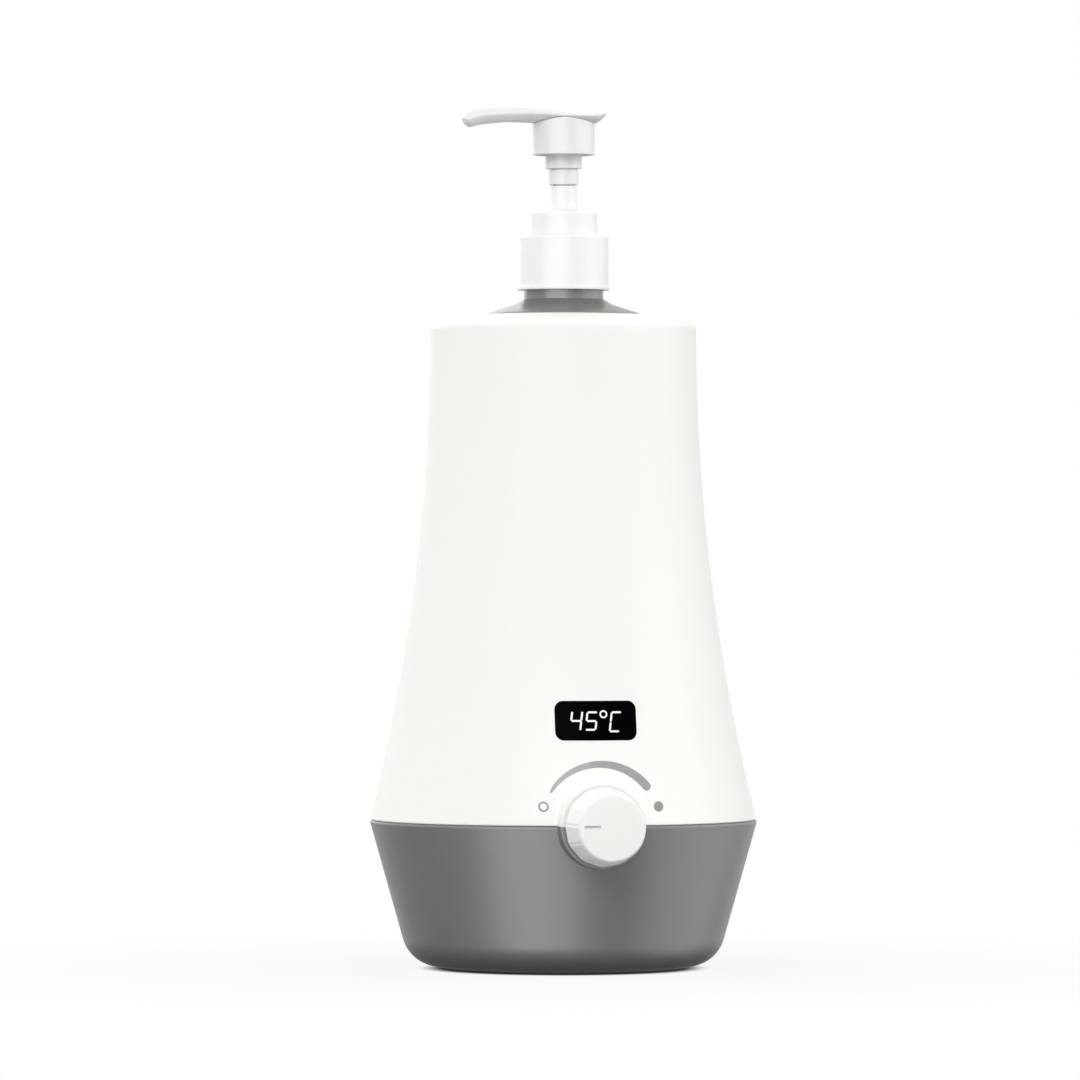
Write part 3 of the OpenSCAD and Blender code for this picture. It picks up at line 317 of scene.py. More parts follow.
drift, given, gives = new_group(
    "tone_drift", [("Vector", "Vector"), ("Scale", "Float"), ("Tone", "Color"), ("Spread", "Float")],
    [("Tone", "Color")])
slow = noise(drift, given["Vector"], given["Scale"], 2)
swing = calc(drift, "MULTIPLY", calc(drift, "SUBTRACT", slow, NOISE_MEAN), given["Spread"])
scaled = add_node(drift, "ShaderNodeVectorMath", operation="SCALE")
feed(drift, scaled.inputs[0], given["Tone"])
feed(drift, scaled.inputs["Scale"], calc(drift, "ADD", swing, 1.0))
feed(drift, gives["Tone"], scaled.outputs[0])
print("effects:", grain.name, drift.name)

# %% [markdown]
# Scuffs are the short rubbed marks of handling: stretched noise, cut off so that only its peaks show, and
# kept to a few patches. Level fade is a mask by height, with which shade is painted low on the bowl, near the
# table.

# %% Scuffs and fade
STREAK_STRETCH, STREAK_TURN = (0.3, 1.0, 2.2), (0.4, 0.7, 0.2)
STREAK_FROM, STREAK_FULL = 0.62, 0.74
PATCH_SCALE, PATCH_FROM, PATCH_FULL = 26.0, 0.45, 0.65
scuffs, given, gives = new_group(
    "handling_scuffs", [("Vector", "Vector"), ("Scale", "Float"), ("Amount", "Float")], [("Mask", "Float")])
stretched = add_node(scuffs, "ShaderNodeMapping")
stretched.inputs["Scale"].default_value = STREAK_STRETCH
stretched.inputs["Rotation"].default_value = STREAK_TURN
feed(scuffs, stretched.inputs["Vector"], given["Vector"])
streak = soft_step(scuffs, noise(scuffs, stretched.outputs[0], given["Scale"], 4), STREAK_FROM, STREAK_FULL)
patch = soft_step(scuffs, noise(scuffs, given["Vector"], PATCH_SCALE, 1), PATCH_FROM, PATCH_FULL)
worn = calc(scuffs, "MULTIPLY", streak, patch)
feed(scuffs, gives["Mask"], calc(scuffs, "MULTIPLY", worn, given["Amount"]))

fade, given, gives = new_group(
    "painted_shade_by_height", [("Vector", "Vector"), ("Full", "Float"), ("Clear", "Float")], [("Mask", "Float")])
split = add_node(fade, "ShaderNodeSeparateXYZ")
feed(fade, split.inputs[0], given["Vector"])
feed(fade, gives["Mask"], soft_step(fade, split.outputs["Z"], given["Clear"], given["Full"]))
print("effects:", scuffs.name, fade.name)

# %% [markdown]
# One function makes every moulded plastic and rubber: it drifts the tone, adds the grain as bump, roughens
# and lightens the scuffs, and paints shade by height where that is asked for. What is even over the surface,
# such as the specular level, stays on the shader's own sockets, because the export reads it there.


# %% Helpers for finishes
def effect(tree, group, **values):
    made = add_node(tree, "ShaderNodeGroup", node_tree=group)
    for label, value in values.items():
        feed(tree, made.inputs[label], value)
    return made.outputs


def blend_tone(tree, factor, first, second):
    made = add_node(tree, "ShaderNodeMix", data_type="RGBA")
    feed(tree, made.inputs[0], factor)
    feed(tree, made.inputs[6], first)
    feed(tree, made.inputs[7], second)
    return made.outputs[2]


def new_finish(name):
    """A material with a bare Principled shader, its tree, the shader and Object coordinates."""
    finish = bpy.data.materials.new(name)
    finish.use_nodes = True
    made = finish.node_tree
    shader = made.nodes["Principled BSDF"]
    place = add_node(made, "ShaderNodeTexCoord").outputs["Object"]
    return finish, made, shader, place


def bump(tree, shader, height, depth):
    made = add_node(tree, "ShaderNodeBump")
    made.inputs["Strength"].default_value = 1.0
    made.inputs["Distance"].default_value = depth
    feed(tree, made.inputs["Height"], height)
    feed(tree, shader.inputs["Normal"], made.outputs[0])


# %% A moulded finish
DRIFT_SCALE, SCUFF_SCALE = 22.0, 170.0
RUBBED_TIMES, RUBBED_PLUS = 1.12, 0.01
GLOSS_SWING, RUBBED_ROUGHER = 0.1, 0.12


def moulded(name, tone, roughness, grain_scale=2600.0, grain_depth=4e-6, spread=0.05, wear=0.25,
            worn_tone=None, low=None, even=None):
    """A moulded finish. low is painted shade towards the bottom: (tone, height where it is full, height where
    it ends), in metres.
    """
    finish, made, shader, place = new_finish(name)
    colour = effect(made, drift, Vector=place, Scale=DRIFT_SCALE, Tone=(*tone, 1), Spread=spread)["Tone"]
    # Painted shade: the tone darkens towards the bottom, below the given height.
    if low:
        shade, full, clear = low
        reach = effect(made, fade, Vector=place, Full=full, Clear=clear)["Mask"]
        colour = blend_tone(made, reach, colour, (*shade, 1))
    marks = effect(made, scuffs, Vector=place, Scale=SCUFF_SCALE, Amount=wear)["Mask"]
    lighter = worn_tone or tuple(min(1.0, part * RUBBED_TIMES + RUBBED_PLUS) for part in tone)
    feed(made, shader.inputs["Base Color"], blend_tone(made, marks, colour, (*lighter, 1)))
    texture = effect(made, grain, Vector=place, Scale=grain_scale)
    rough = calc(made, "MULTIPLY_ADD", texture["Gloss"], GLOSS_SWING, roughness)
    feed(made, shader.inputs["Roughness"], calc(made, "MULTIPLY_ADD", marks, RUBBED_ROUGHER, rough))
    bump(made, shader, texture["Height"], grain_depth)
    for label, value in (even or {}).items():
        shader.inputs[label].default_value = value
    return finish


# %% [markdown]
# The housing is a satin white and a satin grey, the bottle a glossier grey, and the pump a smooth white that
# lets a little light in. The grey mirrors the strips more strongly than a plain plastic would, which draws
# its soft bands. The rest are the plastics, rubbers and leads of what lies underneath and inside.

# %% Moulded plastics
shell_white = moulded("shell_white", (0.935, 0.928, 0.90), 0.45, spread=0.012, wear=0.1,
                      even={"Specular IOR Level": 0.25})
# The bowl's low tone is painted shade, darker near the table.
bowl_grey = moulded("bowl_grey", (0.160, 0.153, 0.153), 0.40,
                    low=((0.10, 0.097, 0.097), 2 * MM, 9 * MM), even={"Specular IOR Level": 1.0})
bottle_grey = moulded("bottle_grey", (0.165, 0.161, 0.161), 0.30, grain_depth=2e-6,
                      even={"Specular IOR Level": 1.0})
knob_white = moulded("knob_white", (0.94, 0.933, 0.907), 0.4, spread=0.012, wear=0.15,
                     even={"Specular IOR Level": 0.35})
pump_white = moulded("pump_white", (0.865, 0.865, 0.86), 0.32, grain_depth=1e-6, spread=0.015, wear=0.1,
                     even={"Subsurface Weight": 0.08, "Subsurface Scale": 0.003})
# Painted shade: the head is a darker copy of the pump's white, for the shade under its plate.
head_white_painted_shade = moulded("head_white_painted_shade", (0.81, 0.81, 0.806), 0.3, grain_depth=1e-6, spread=0.015, wear=0.1)
natural_plastic = moulded("natural_plastic", (0.78, 0.79, 0.77), 0.35, grain_depth=1e-6)
foot_rubber = moulded("foot_rubber", (0.022, 0.022, 0.023), 0.75, grain_scale=1500.0, grain_depth=1.2e-5)
seal_rubber = moulded("seal_rubber", (0.30, 0.30, 0.31), 0.6, grain_scale=1800.0)
black_plastic = moulded("black_plastic", (0.018, 0.018, 0.019), 0.45)
heater_silicone = moulded("heater_silicone", (0.42, 0.075, 0.03), 0.55, grain_scale=900.0, grain_depth=2e-5)
component_blue = moulded("component_blue", (0.03, 0.08, 0.26), 0.35)
component_yellow = moulded("component_yellow", (0.62, 0.42, 0.06), 0.5)
terminal_green = moulded("terminal_green", (0.03, 0.22, 0.08), 0.45)
lead_brown = moulded("lead_brown", (0.13, 0.055, 0.025), 0.45)
lead_cream = moulded("lead_cream", (0.72, 0.68, 0.56), 0.6)
print("finishes so far:", len(bpy.data.materials))

# %% [markdown]
# The metals are worked ones: fine lines from stretched noise roughen them, run round the drawn cup and along
# the pins, and are even on the fasteners. An image of brushed metal would do the same at one scale only.


# %% Metals
METAL_DRIFT, METAL_SPREAD = 60.0, 0.12
METAL_SCUFF, METAL_WEAR, METAL_DULLED = 400.0, 0.4, 0.8
LINE_SWING = 0.16


def metal(name, tone, roughness, stretch, scratch_depth):
    """A worked metal. A large number in stretch gives fine lines across that axis."""
    finish, made, shader, place = new_finish(name)
    shader.inputs["Metallic"].default_value = 1.0
    mapped = add_node(made, "ShaderNodeMapping")
    mapped.inputs["Scale"].default_value = stretch
    feed(made, mapped.inputs["Vector"], place)
    lines = noise(made, mapped.outputs[0], 1.0, 3)
    colour = effect(made, drift, Vector=place, Scale=METAL_DRIFT, Tone=(*tone, 1),
                    Spread=METAL_SPREAD)["Tone"]
    marks = effect(made, scuffs, Vector=place, Scale=METAL_SCUFF, Amount=METAL_WEAR)["Mask"]
    darker = tuple(part * METAL_DULLED for part in tone)
    feed(made, shader.inputs["Base Color"], blend_tone(made, marks, colour, (*darker, 1)))
    rough = calc(made, "MULTIPLY_ADD", lines, LINE_SWING, roughness - LINE_SWING / 2)
    feed(made, shader.inputs["Roughness"], rough)
    bump(made, shader, lines, scratch_depth)
    return finish


cup_aluminium = metal("cup_aluminium", (0.80, 0.80, 0.81), 0.34, (60, 60, 5000), 2e-6)
fastener_steel = metal("fastener_steel", (0.56, 0.56, 0.55), 0.3, (900, 900, 900), 1e-6)
pin_brass = metal("pin_brass", (0.75, 0.56, 0.24), 0.28, (3000, 60, 3000), 1e-6)
print("metals:", cup_aluminium.name, fastener_steel.name, pin_brass.name)

# %% [markdown]
# The window is a deep black with hardly any mirror, as a smoked panel looks under soft light. The prints are
# three greys of matt ink, the pointer's groove is painted darker than the knob, as painted shade in the
# groove, and the lit segments give off their own even light.

# %% Window, prints and lit segments
window_black = moulded("window_black", (0.0008, 0.0008, 0.0009), 0.25, grain_depth=2e-7, wear=0.05,
                       worn_tone=(0.002, 0.002, 0.002), even={"Specular IOR Level": 0.01})
low_print = moulded("low_print", (0.375, 0.375, 0.375), 0.5, grain_depth=1e-6, wear=0.1)
high_print = moulded("high_print", (0.32, 0.32, 0.32), 0.5, grain_depth=1e-6, wear=0.1)
mark_print = moulded("mark_print", (0.27, 0.27, 0.275), 0.5, grain_depth=1e-6, wear=0.1)
# Painted shade for the inside of the pointer's groove.
pointer_painted_shade = moulded("pointer_painted_shade", (0.72, 0.715, 0.70), 0.55)

lit_white, tree, shader, place = new_finish("lit_white")
shader.inputs["Base Color"].default_value = (0.02, 0.02, 0.02, 1)
shader.inputs["Emission Strength"].default_value = 1.0
even_glow = effect(tree, drift, Vector=place, Scale=700.0, Tone=(0.97, 0.97, 0.97, 1), Spread=0.06)["Tone"]
feed(tree, shader.inputs["Emission Color"], even_glow)
print("display:", window_black.name, lit_white.name)

# %% [markdown]
# A circuit board shows its copper tracks as lighter lines under green lacquer. A brick pattern gives straight
# lines that turn at right angles, which is enough for boards that are seen only deep inside.

# %% Circuit boards
TRACK_CELL, TRACK_W, TRACK_RISE = 260.0, 0.08, 1e-5
LACQUER_ROUGHNESS = 0.3
board_green, tree, shader, place = new_finish("board_green")
tracks = add_node(tree, "ShaderNodeTexBrick")
tracks.inputs["Scale"].default_value = TRACK_CELL
tracks.inputs["Mortar Size"].default_value = TRACK_W
tracks.inputs["Color1"].default_value = (0.012, 0.10, 0.035, 1)
tracks.inputs["Color2"].default_value = (0.016, 0.12, 0.045, 1)
tracks.inputs["Mortar"].default_value = (0.04, 0.24, 0.09, 1)
feed(tree, tracks.inputs["Vector"], place)
lacquer = effect(tree, drift, Vector=place, Scale=90.0, Tone=tracks.outputs["Color"], Spread=0.2)["Tone"]
feed(tree, shader.inputs["Base Color"], lacquer)
shader.inputs["Roughness"].default_value = LACQUER_ROUGHNESS
bump(tree, shader, tracks.outputs["Fac"], TRACK_RISE)
print("finishes:", len(bpy.data.materials))

# %% [markdown]
# Most pieces of this object are turned: the shell, the bowl, the bottle and the pump are all outlines spun
# round one axis. The Screw modifier could spin them too, but a Geometry Nodes tree has named inputs, and its
# first half also serves for threads and springs: a grid with one row for each outline point and one column
# for each step, in which every grid point knows the outline point that it follows.


# %% Start and end of a shape tree
def new_shape_tree(name, inputs):
    made = bpy.data.node_groups.new(name, "GeometryNodeTree")
    made.is_modifier = True
    made.interface.new_socket("Geometry", in_out="INPUT", socket_type="NodeSocketGeometry")
    for label, kind in inputs:
        made.interface.new_socket(label, in_out="INPUT", socket_type="NodeSocket" + kind)
    made.interface.new_socket("Geometry", in_out="OUTPUT", socket_type="NodeSocketGeometry")
    return made, add_node(made, "NodeGroupInput").outputs, add_node(made, "NodeGroupOutput").inputs


def end_in_material(tree, geometry, given, gives):
    """The closing nodes of every tree: real geometry, with its finish."""
    real = add_node(tree, "GeometryNodeRealizeInstances")
    dressed = add_node(tree, "GeometryNodeSetMaterial")
    tree.links.new(geometry, real.inputs["Geometry"])
    tree.links.new(real.outputs["Geometry"], dressed.inputs["Geometry"])
    tree.links.new(given["Finish"], dressed.inputs["Material"])
    tree.links.new(dressed.outputs["Geometry"], gives["Geometry"])
    print(tree.name, "has", len(tree.nodes), "nodes")


# %% Grid and places of a shape tree
def swept_grid(tree, given):
    """A grid over the given points. Returns its mesh, its column numbers, and each row's own X and Z."""
    size = add_node(tree, "GeometryNodeAttributeDomainSize")
    tree.links.new(given["Geometry"], size.inputs["Geometry"])
    columns = calc(tree, "ADD", given["Steps"], 1)
    grid = add_node(tree, "GeometryNodeMeshGrid")
    feed(tree, grid.inputs["Vertices X"], size.outputs["Point Count"])
    feed(tree, grid.inputs["Vertices Y"], columns)
    number = add_node(tree, "GeometryNodeInputIndex").outputs[0]
    row = calc(tree, "FLOOR", calc(tree, "DIVIDE", calc(tree, "ADD", number, 0.5), columns))
    column = calc(tree, "SUBTRACT", number, calc(tree, "MULTIPLY", row, columns))
    picked = add_node(tree, "GeometryNodeSampleIndex", data_type="FLOAT_VECTOR", domain="POINT")
    tree.links.new(given["Geometry"], picked.inputs["Geometry"])
    tree.links.new(add_node(tree, "GeometryNodeInputPosition").outputs[0], picked.inputs["Value"])
    feed(tree, picked.inputs["Index"], row)
    point = add_node(tree, "ShaderNodeSeparateXYZ")
    feed(tree, point.inputs[0], picked.outputs[0])
    return grid.outputs["Mesh"], column, point.outputs["X"], point.outputs["Z"]


def put_at(tree, geometry, x, y, z):
    """Moves each point of a geometry to computed coordinates."""
    spot = add_node(tree, "ShaderNodeCombineXYZ")
    for label, value in zip("XYZ", (x, y, z)):
        feed(tree, spot.inputs[label], value)
    placed = add_node(tree, "GeometryNodeSetPosition")
    tree.links.new(geometry, placed.inputs["Geometry"])
    tree.links.new(spot.outputs[0], placed.inputs["Position"])
    return placed.outputs["Geometry"]


def round_axis(tree, radius, angle):
    """X and Y at a radius and an angle round Z."""
    return [calc(tree, "MULTIPLY", radius, calc(tree, turn, angle)) for turn in ("COSINE", "SINE")]


# %% A tree that turns an outline
SEAM_MERGE = 2e-6
turning, given, gives = new_shape_tree("turned_from_outline", [("Steps", "Int"), ("Finish", "Material")])
wall, column, station_r, station_z = swept_grid(turning, given)
angle = calc(turning, "DIVIDE", calc(turning, "MULTIPLY", column, math.tau), given["Steps"])
turned_wall = put_at(turning, wall, *round_axis(turning, station_r, angle), station_z)
closed = add_node(turning, "GeometryNodeMergeByDistance")
closed.inputs["Distance"].default_value = SEAM_MERGE
turning.links.new(turned_wall, closed.inputs["Geometry"])
end_in_material(turning, closed.outputs["Geometry"], given, gives)

# %% [markdown]
# An outline is a short list of corners, each with the radius that it is rounded by. The arcs could come from
# a Bevel modifier after the turning, but a bevel gives way where edges lie close together. Rounded in the
# outline, every edge keeps the radius that it was given.


# %% Outlines with rounded corners
ARC_STEP = 5.0


def rounded(corners):
    """Points of a closed outline whose corners (r, z, radius) are rounded by arcs."""
    points = []
    for i, corner in enumerate(corners):
        at = Vector(corner[:2])
        radius = corner[2] if len(corner) > 2 else 0
        if radius == 0:
            points.append(at)
            continue
        before = (Vector(corners[i - 1][:2]) - at).normalized()
        after = (Vector(corners[(i + 1) % len(corners)][:2]) - at).normalized()
        half = math.acos(before.dot(after)) / 2
        centre = at + (before + after).normalized() * radius / math.sin(half)
        start = at + before * radius / math.tan(half) - centre
        first = math.atan2(start.y, start.x)
        sweep = math.copysign(math.pi - 2 * half, after.x * before.y - after.y * before.x)
        steps = max(3, math.ceil(math.degrees(abs(sweep)) / ARC_STEP))
        for k in range(steps + 1):
            a = first + sweep * k / steps
            points.append(centre + radius * Vector((math.cos(a), math.sin(a))))
    return points


print("points of a rounded square:", len(rounded([(0, 0, 1), (4, 0, 1), (4, 4, 1), (0, 4, 1)])))

# %% [markdown]
# Every piece takes the same few steps: its points become an object, a tree or a modifier shapes it, and the
# result is kept as a plain mesh. The modifiers could stay live, but a plain mesh can be joined, cut and
# shaded by what comes after it, and none of it changes later.


# %% From points to a plain mesh
def link_object(name, mesh):
    made = bpy.data.objects.new(name, mesh)
    scene.collection.objects.link(made)
    return made


def from_bmesh(name, mesh, *finishes):
    """An object from a bmesh, which is used up, with its finishes."""
    data = bpy.data.meshes.new(name)
    mesh.to_mesh(data)
    mesh.free()
    for finish in finishes:
        data.materials.append(finish)
    return link_object(name, data)


def settle(obj):
    """Turns an object's live modifiers into a plain mesh."""
    graph = bpy.context.evaluated_depsgraph_get()
    mesh = bpy.data.meshes.new_from_object(obj.evaluated_get(graph), depsgraph=graph)
    obj.modifiers.clear()
    old = obj.data
    obj.data = mesh
    bpy.data.meshes.remove(old)
    return obj


def shape_by(obj, tree, **inputs):
    """Runs a shape tree on an object and keeps the result. Inputs are set by their sockets' identifiers."""
    modifier = obj.modifiers.new(tree.name, "NODES")
    modifier.node_group = tree
    for item in tree.interface.items_tree:
        if item.item_type == "SOCKET" and item.in_out == "INPUT" and item.name in inputs:
            modifier[item.identifier] = inputs[item.name]
    return settle(obj)


# %% Closed meshes and soft edges
SHARP = math.radians(38)
BEVEL_FROM = math.radians(60)
DOUBLES = 1e-6


def close_up(obj):
    """Merges doubles and points the faces outwards."""
    mesh = bmesh.new()
    mesh.from_mesh(obj.data)
    bmesh.ops.remove_doubles(mesh, verts=mesh.verts, dist=DOUBLES)
    bmesh.ops.recalc_face_normals(mesh, faces=mesh.faces)
    mesh.to_mesh(obj.data)
    mesh.free()
    return obj


def soften(obj, width, segments):
    """Adds a live bevel to the sharp edges of a piece."""
    edges = obj.modifiers.new("edges", "BEVEL")
    edges.width = width * MM
    edges.segments = segments
    edges.limit_method = "ANGLE"
    edges.angle_limit = BEVEL_FROM
    return obj


def smooth(obj, sharp=SHARP):
    """Shades smooth except across sharp edges, with the flat faces kept flat."""
    obj.data.shade_smooth()
    obj.data.set_sharp_from_angle(angle=sharp)
    weighted = obj.modifiers.new("flat_faces", "WEIGHTED_NORMAL")
    weighted.keep_sharp = True
    return settle(obj)


# %% [markdown]
# A turned piece is now one call with its outline, and a rod is the simplest of them. Pieces are joined and
# cut by Booleans with the manifold solver: it needs closed meshes, which turned ones are, and is quick. A
# finished piece rides on its body and hides the CAD nodes that it stands for, so nothing is shown twice.

# %% Turned pieces, tools and joints
CUT_PAST = 1.0


def turned(name, corners, finish, steps=192):
    """A piece turned about Z from an outline in millimetres."""
    points = rounded(corners)
    if points[0].x > 0 or points[-1].x > 0:
        points.append(points[0])
    mesh = bpy.data.meshes.new(name)
    mesh.from_pydata([(p.x * MM, 0, p.y * MM) for p in points], [], [])
    return close_up(shape_by(link_object(name, mesh), turning, Steps=steps, Finish=finish))


def rod(name, radius, low, high, finish, steps=192, edge_r=0):
    """A solid upright rod between two heights, with a rounded upper edge where asked."""
    return turned(name, [(0, low), (radius, low), (radius, high, edge_r), (0, high)], finish, steps)


def moved(obj, matrix):
    obj.data.transform(matrix)
    return obj


def carve(obj, *steps):
    """Joins to a piece, or cuts from it, other closed meshes, which are used up."""
    for operation, tool in steps:
        cut = obj.modifiers.new(operation.lower(), "BOOLEAN")
        cut.operation = operation
        cut.solver = "MANIFOLD"
        cut.object = tool
    settle(obj)
    for _, tool in steps:
        bpy.data.objects.remove(tool)
    return obj


def dress(obj, body, slot, *replaced):
    """Rides a finished piece on its body, and hides the CAD nodes that it stands for."""
    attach(obj, body)
    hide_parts(*replaced)
    print(obj.name, "stands for", replaced, "with", len(obj.data.polygons), "faces")


# %% [markdown]
# The shell is a flared bell: its side is one long arc that is upright at the top and leans out to the seam.
# It closes in a gently sloped top with a rounded edge, and the bottle comes out of its rim. It could be a
# subdivided cage, but an arc of known radius also tells where the window and the prints have to lie.

# %% Shape of the flare
TOP_SLOPE = math.tan(math.radians(9))
TOP_EDGE_R = 3.0
FLARE_ROWS = 56
top_corner_z = rim_z - (TOP_R - RIM_R) * TOP_SLOPE
flare_top = top_corner_z - TOP_EDGE_R
flare_h = flare_top - seam_z
flare_out = BODY_R - TOP_R
flare_r = (flare_h ** 2 + flare_out ** 2) / (2 * flare_out)


def side_r(z):
    """Outer radius of the shell at a height."""
    return TOP_R + flare_r - math.sqrt(flare_r ** 2 - (flare_top - z) ** 2)


def top_z(r):
    """Height of the shell's sloped top at a radius."""
    return rim_z - (r - RIM_R) * TOP_SLOPE


def flare(inset, rows):
    """Outline points up the flare, inset from its outer side."""
    heights = np.linspace(shell_foot_z, flare_top, rows + 1)[1:]
    return [(side_r(z) - inset, z) for z in heights]


print("flare radius", round(flare_r, 1))

# %% [markdown]
# The knob sits on a round boss, whose upper half is moulded on the shell and whose lower half on the bowl.
# Each half is cut from one plug along the knob's axis and joined to its wall. The boss is set back a little
# from the front of the CAD boss, because a closer look at the photograph showed it to be shorter.

# %% Knob boss and its room
BOSS_R, BOSS_WALL, BOSS_FACE_T = 14.85, 2.35, 2.6
BOSS_EDGE_R = 0.6
BOSS_ROOT, ROOM_FROM = 54.0, 30.0
BOSS_SETBACK = 2.1
SHAFT_HOLE_R = 4.2
PLUG_STEPS = 128
boss_front = -shell_low.y - BOSS_SETBACK
to_front = Matrix.Translation((0, 0, seam_z * MM)) @ Matrix.Rotation(math.radians(90), 4, "X")


def front_plug(name, radius, start, end, finish, edge_r=0):
    """A solid rod along the knob's axis, from one distance in front of the axis to another."""
    return moved(rod(name, radius, start, end, finish, PLUG_STEPS, edge_r), to_front)


def block(name, low, high):
    """A plain box tool, in millimetres."""
    low, high = Vector(low), Vector(high)
    mesh = bmesh.new()
    bmesh.ops.create_cube(mesh, size=1)
    place = Matrix.Translation((high + low) / 2 * MM) @ Matrix.Diagonal((*((high - low) * MM), 1))
    bmesh.ops.transform(mesh, matrix=place, verts=mesh.verts)
    return from_bmesh(name, mesh)


def half_boss(name, low_z, high_z, finish):
    """The part of the boss between two heights."""
    boss = front_plug(name, BOSS_R, BOSS_ROOT, boss_front, finish, BOSS_EDGE_R)
    keep = block("keep", (-2 * BOSS_R, -2 * BODY_R, low_z), (2 * BOSS_R, 0, high_z))
    return carve(boss, ("INTERSECT", keep))


def boss_room(finish):
    """The hollow behind the boss's face, and the hole for the shaft."""
    room = front_plug("room", BOSS_R - BOSS_WALL, ROOM_FROM, boss_front - BOSS_FACE_T, finish)
    hole = front_plug("hole", SHAFT_HOLE_R, ROOM_FROM - CUT_PAST, boss_front + CUT_PAST, finish)
    return carve(room, ("UNION", hole))


print("boss front", round(boss_front, 2))

# %% [markdown]
# The front of the shell is open for the window: a rounded bar is cut through its wall. A bevelled cube would
# do, but a bar pulled from a rounded outline also makes the inlet and its pocket later on.

# %% Window opening
WINDOW_R = 3.0
WINDOW_CLEAR = 0.05
window_low, window_high = box_mm("display_window")
window_z = ((window_low + window_high) / 2).z
window_w = window_high.x - window_low.x
window_h = window_high.z - window_low.z


def prism(name, width, height, radius, start, end, middle_z, finish):
    """A rounded bar along Y, from one y to another, in millimetres."""
    w, h = width / 2, height / 2
    outline = rounded([(-w, -h, radius), (w, -h, radius), (w, h, radius), (-w, h, radius)])
    mesh = bmesh.new()
    near, far = [[mesh.verts.new((p.x * MM, y * MM, (p.y + middle_z) * MM)) for p in outline]
                 for y in (start, end)]
    mesh.faces.new(near)
    mesh.faces.new(reversed(far))
    for i in range(len(outline)):
        mesh.faces.new((near[i - 1], far[i - 1], far[i], near[i]))
    bmesh.ops.recalc_face_normals(mesh, faces=mesh.faces)
    return from_bmesh(name, mesh, finish)


print("window", round(window_w, 1), "by", round(window_h, 1))

# %% [markdown]
# The shell itself is one closed outline: up the outside, over the rim, and down the inside, with a flat seat
# under the top for the flange of the heated cup. A surface with a Solidify modifier would have one thickness
# everywhere and no seat. The half boss is joined to it, and then the room and the window are cut.

# %% Shell
SHELL_STEPS = 240
SHELL_EDGE_R = 0.45
RIM_EDGE_R = 0.5
SEAT_R = 36.0
seat_z = top_z(SEAT_R) - WALL
inner_top = (TOP_R - WALL, top_z(TOP_R - WALL) - WALL)
foot_r = side_r(shell_foot_z)
shell_foot = [(foot_r - WALL, shell_foot_z), (foot_r, shell_foot_z, SHELL_EDGE_R)]
shell_top = [(TOP_R, top_corner_z, TOP_EDGE_R), (RIM_R, rim_z, RIM_EDGE_R)]
shell_seat = [(RIM_R, seat_z), (SEAT_R, seat_z), inner_top]
shell_inside = flare(WALL, FLARE_ROWS // 2)[::-1]
shell_outline = shell_foot + flare(0, FLARE_ROWS) + shell_top + shell_seat + shell_inside
shell = turned("shell", shell_outline, shell_white, SHELL_STEPS)
window_hole = prism("window_hole", window_w + 2 * WINDOW_CLEAR, window_h + 2 * WINDOW_CLEAR,
                    WINDOW_R + WINDOW_CLEAR, -2 * BODY_R, -BODY_R / 2, window_z, shell_white)
carve(shell, ("UNION", half_boss("upper_boss", shell_foot_z, rim_z, shell_white)),
      ("DIFFERENCE", boss_room(shell_white)), ("DIFFERENCE", window_hole))
dress(smooth(close_up(shell)), "housing", "shell_white", "body_shell")

# %% [markdown]
# The bowl is the lower half of the housing. Its side leans in towards the table and rolls under in a large
# round edge. Underneath it has a groove for the foot ring and four deep wells for the housing screws, and
# at the back a shallow pocket for the mains inlet. A lip inside the rim registers the shell. It is turned
# like the shell, and what isn't round is joined or cut afterwards.

# %% Shape of the bowl
BOWL_LEAN = math.tan(math.radians(15.7))
BOWL_OVERHANG = 0.4
BOWL_RIM_R, BOWL_EDGE_R = 0.8, 13.0
FLOOR_T = 2.6
LIP_T, LIP_ROOT, LIP_GAP, LIP_EDGE_R = 1.6, 8.0, 0.2, 0.4
FOOT_W, FOOT_CLEAR = 5.0, 0.05
_, foot_high = box_mm("foot_ring")
bowl_wall = WALL / math.cos(math.atan(BOWL_LEAN))
floor_z = bowl_low.z + FLOOR_T
foot_out = foot_high.x + FOOT_CLEAR
foot_in = foot_high.x - FOOT_W - FOOT_CLEAR
lip_r = side_r(bowl_high.z) - WALL - LIP_GAP
lip_root_z = seam_z - LIP_ROOT


def bowl_r(z):
    """Radius of the bowl's leaning side at a height, before its edges are rounded."""
    return BODY_R + BOWL_OVERHANG - (seam_z - z) * BOWL_LEAN


def bowl_inner_z(r):
    """Height at which the bowl's inner wall has a radius."""
    return seam_z - (BODY_R + BOWL_OVERHANG - bowl_wall - r) / BOWL_LEAN


bowl_side = [(bowl_r(bowl_low.z), bowl_low.z, BOWL_EDGE_R), (bowl_r(bowl_rim_z), bowl_rim_z, BOWL_RIM_R)]
groove = [(foot_in, bowl_low.z), (foot_in, foot_high.z), (foot_out, foot_high.z), (foot_out, bowl_low.z)]
lip = [(bowl_r(seam_z) - bowl_wall, bowl_rim_z), (lip_r, bowl_inner_z(lip_r)),
       (lip_r, bowl_high.z, LIP_EDGE_R), (lip_r - LIP_T, bowl_high.z, LIP_EDGE_R),
       (lip_r - LIP_T, lip_root_z), (bowl_r(lip_root_z) - bowl_wall, lip_root_z)]
bowl_inside = [(bowl_r(floor_z) - bowl_wall, floor_z, BOWL_EDGE_R - WALL), (0, floor_z)]
bowl_outline = [(0, bowl_low.z)] + groove + bowl_side + lip + bowl_inside
bowl = turned("bowl", bowl_outline, bowl_grey, SHELL_STEPS)
print("bowl outline:", len(bowl_outline), "corners")

# %% [markdown]
# Posts stand on the bowl's floor for the four housing screws, and each is bored twice: a wide well for the
# head and a narrow hole for the shank. The same function makes the posts and both kinds of cutting tool.


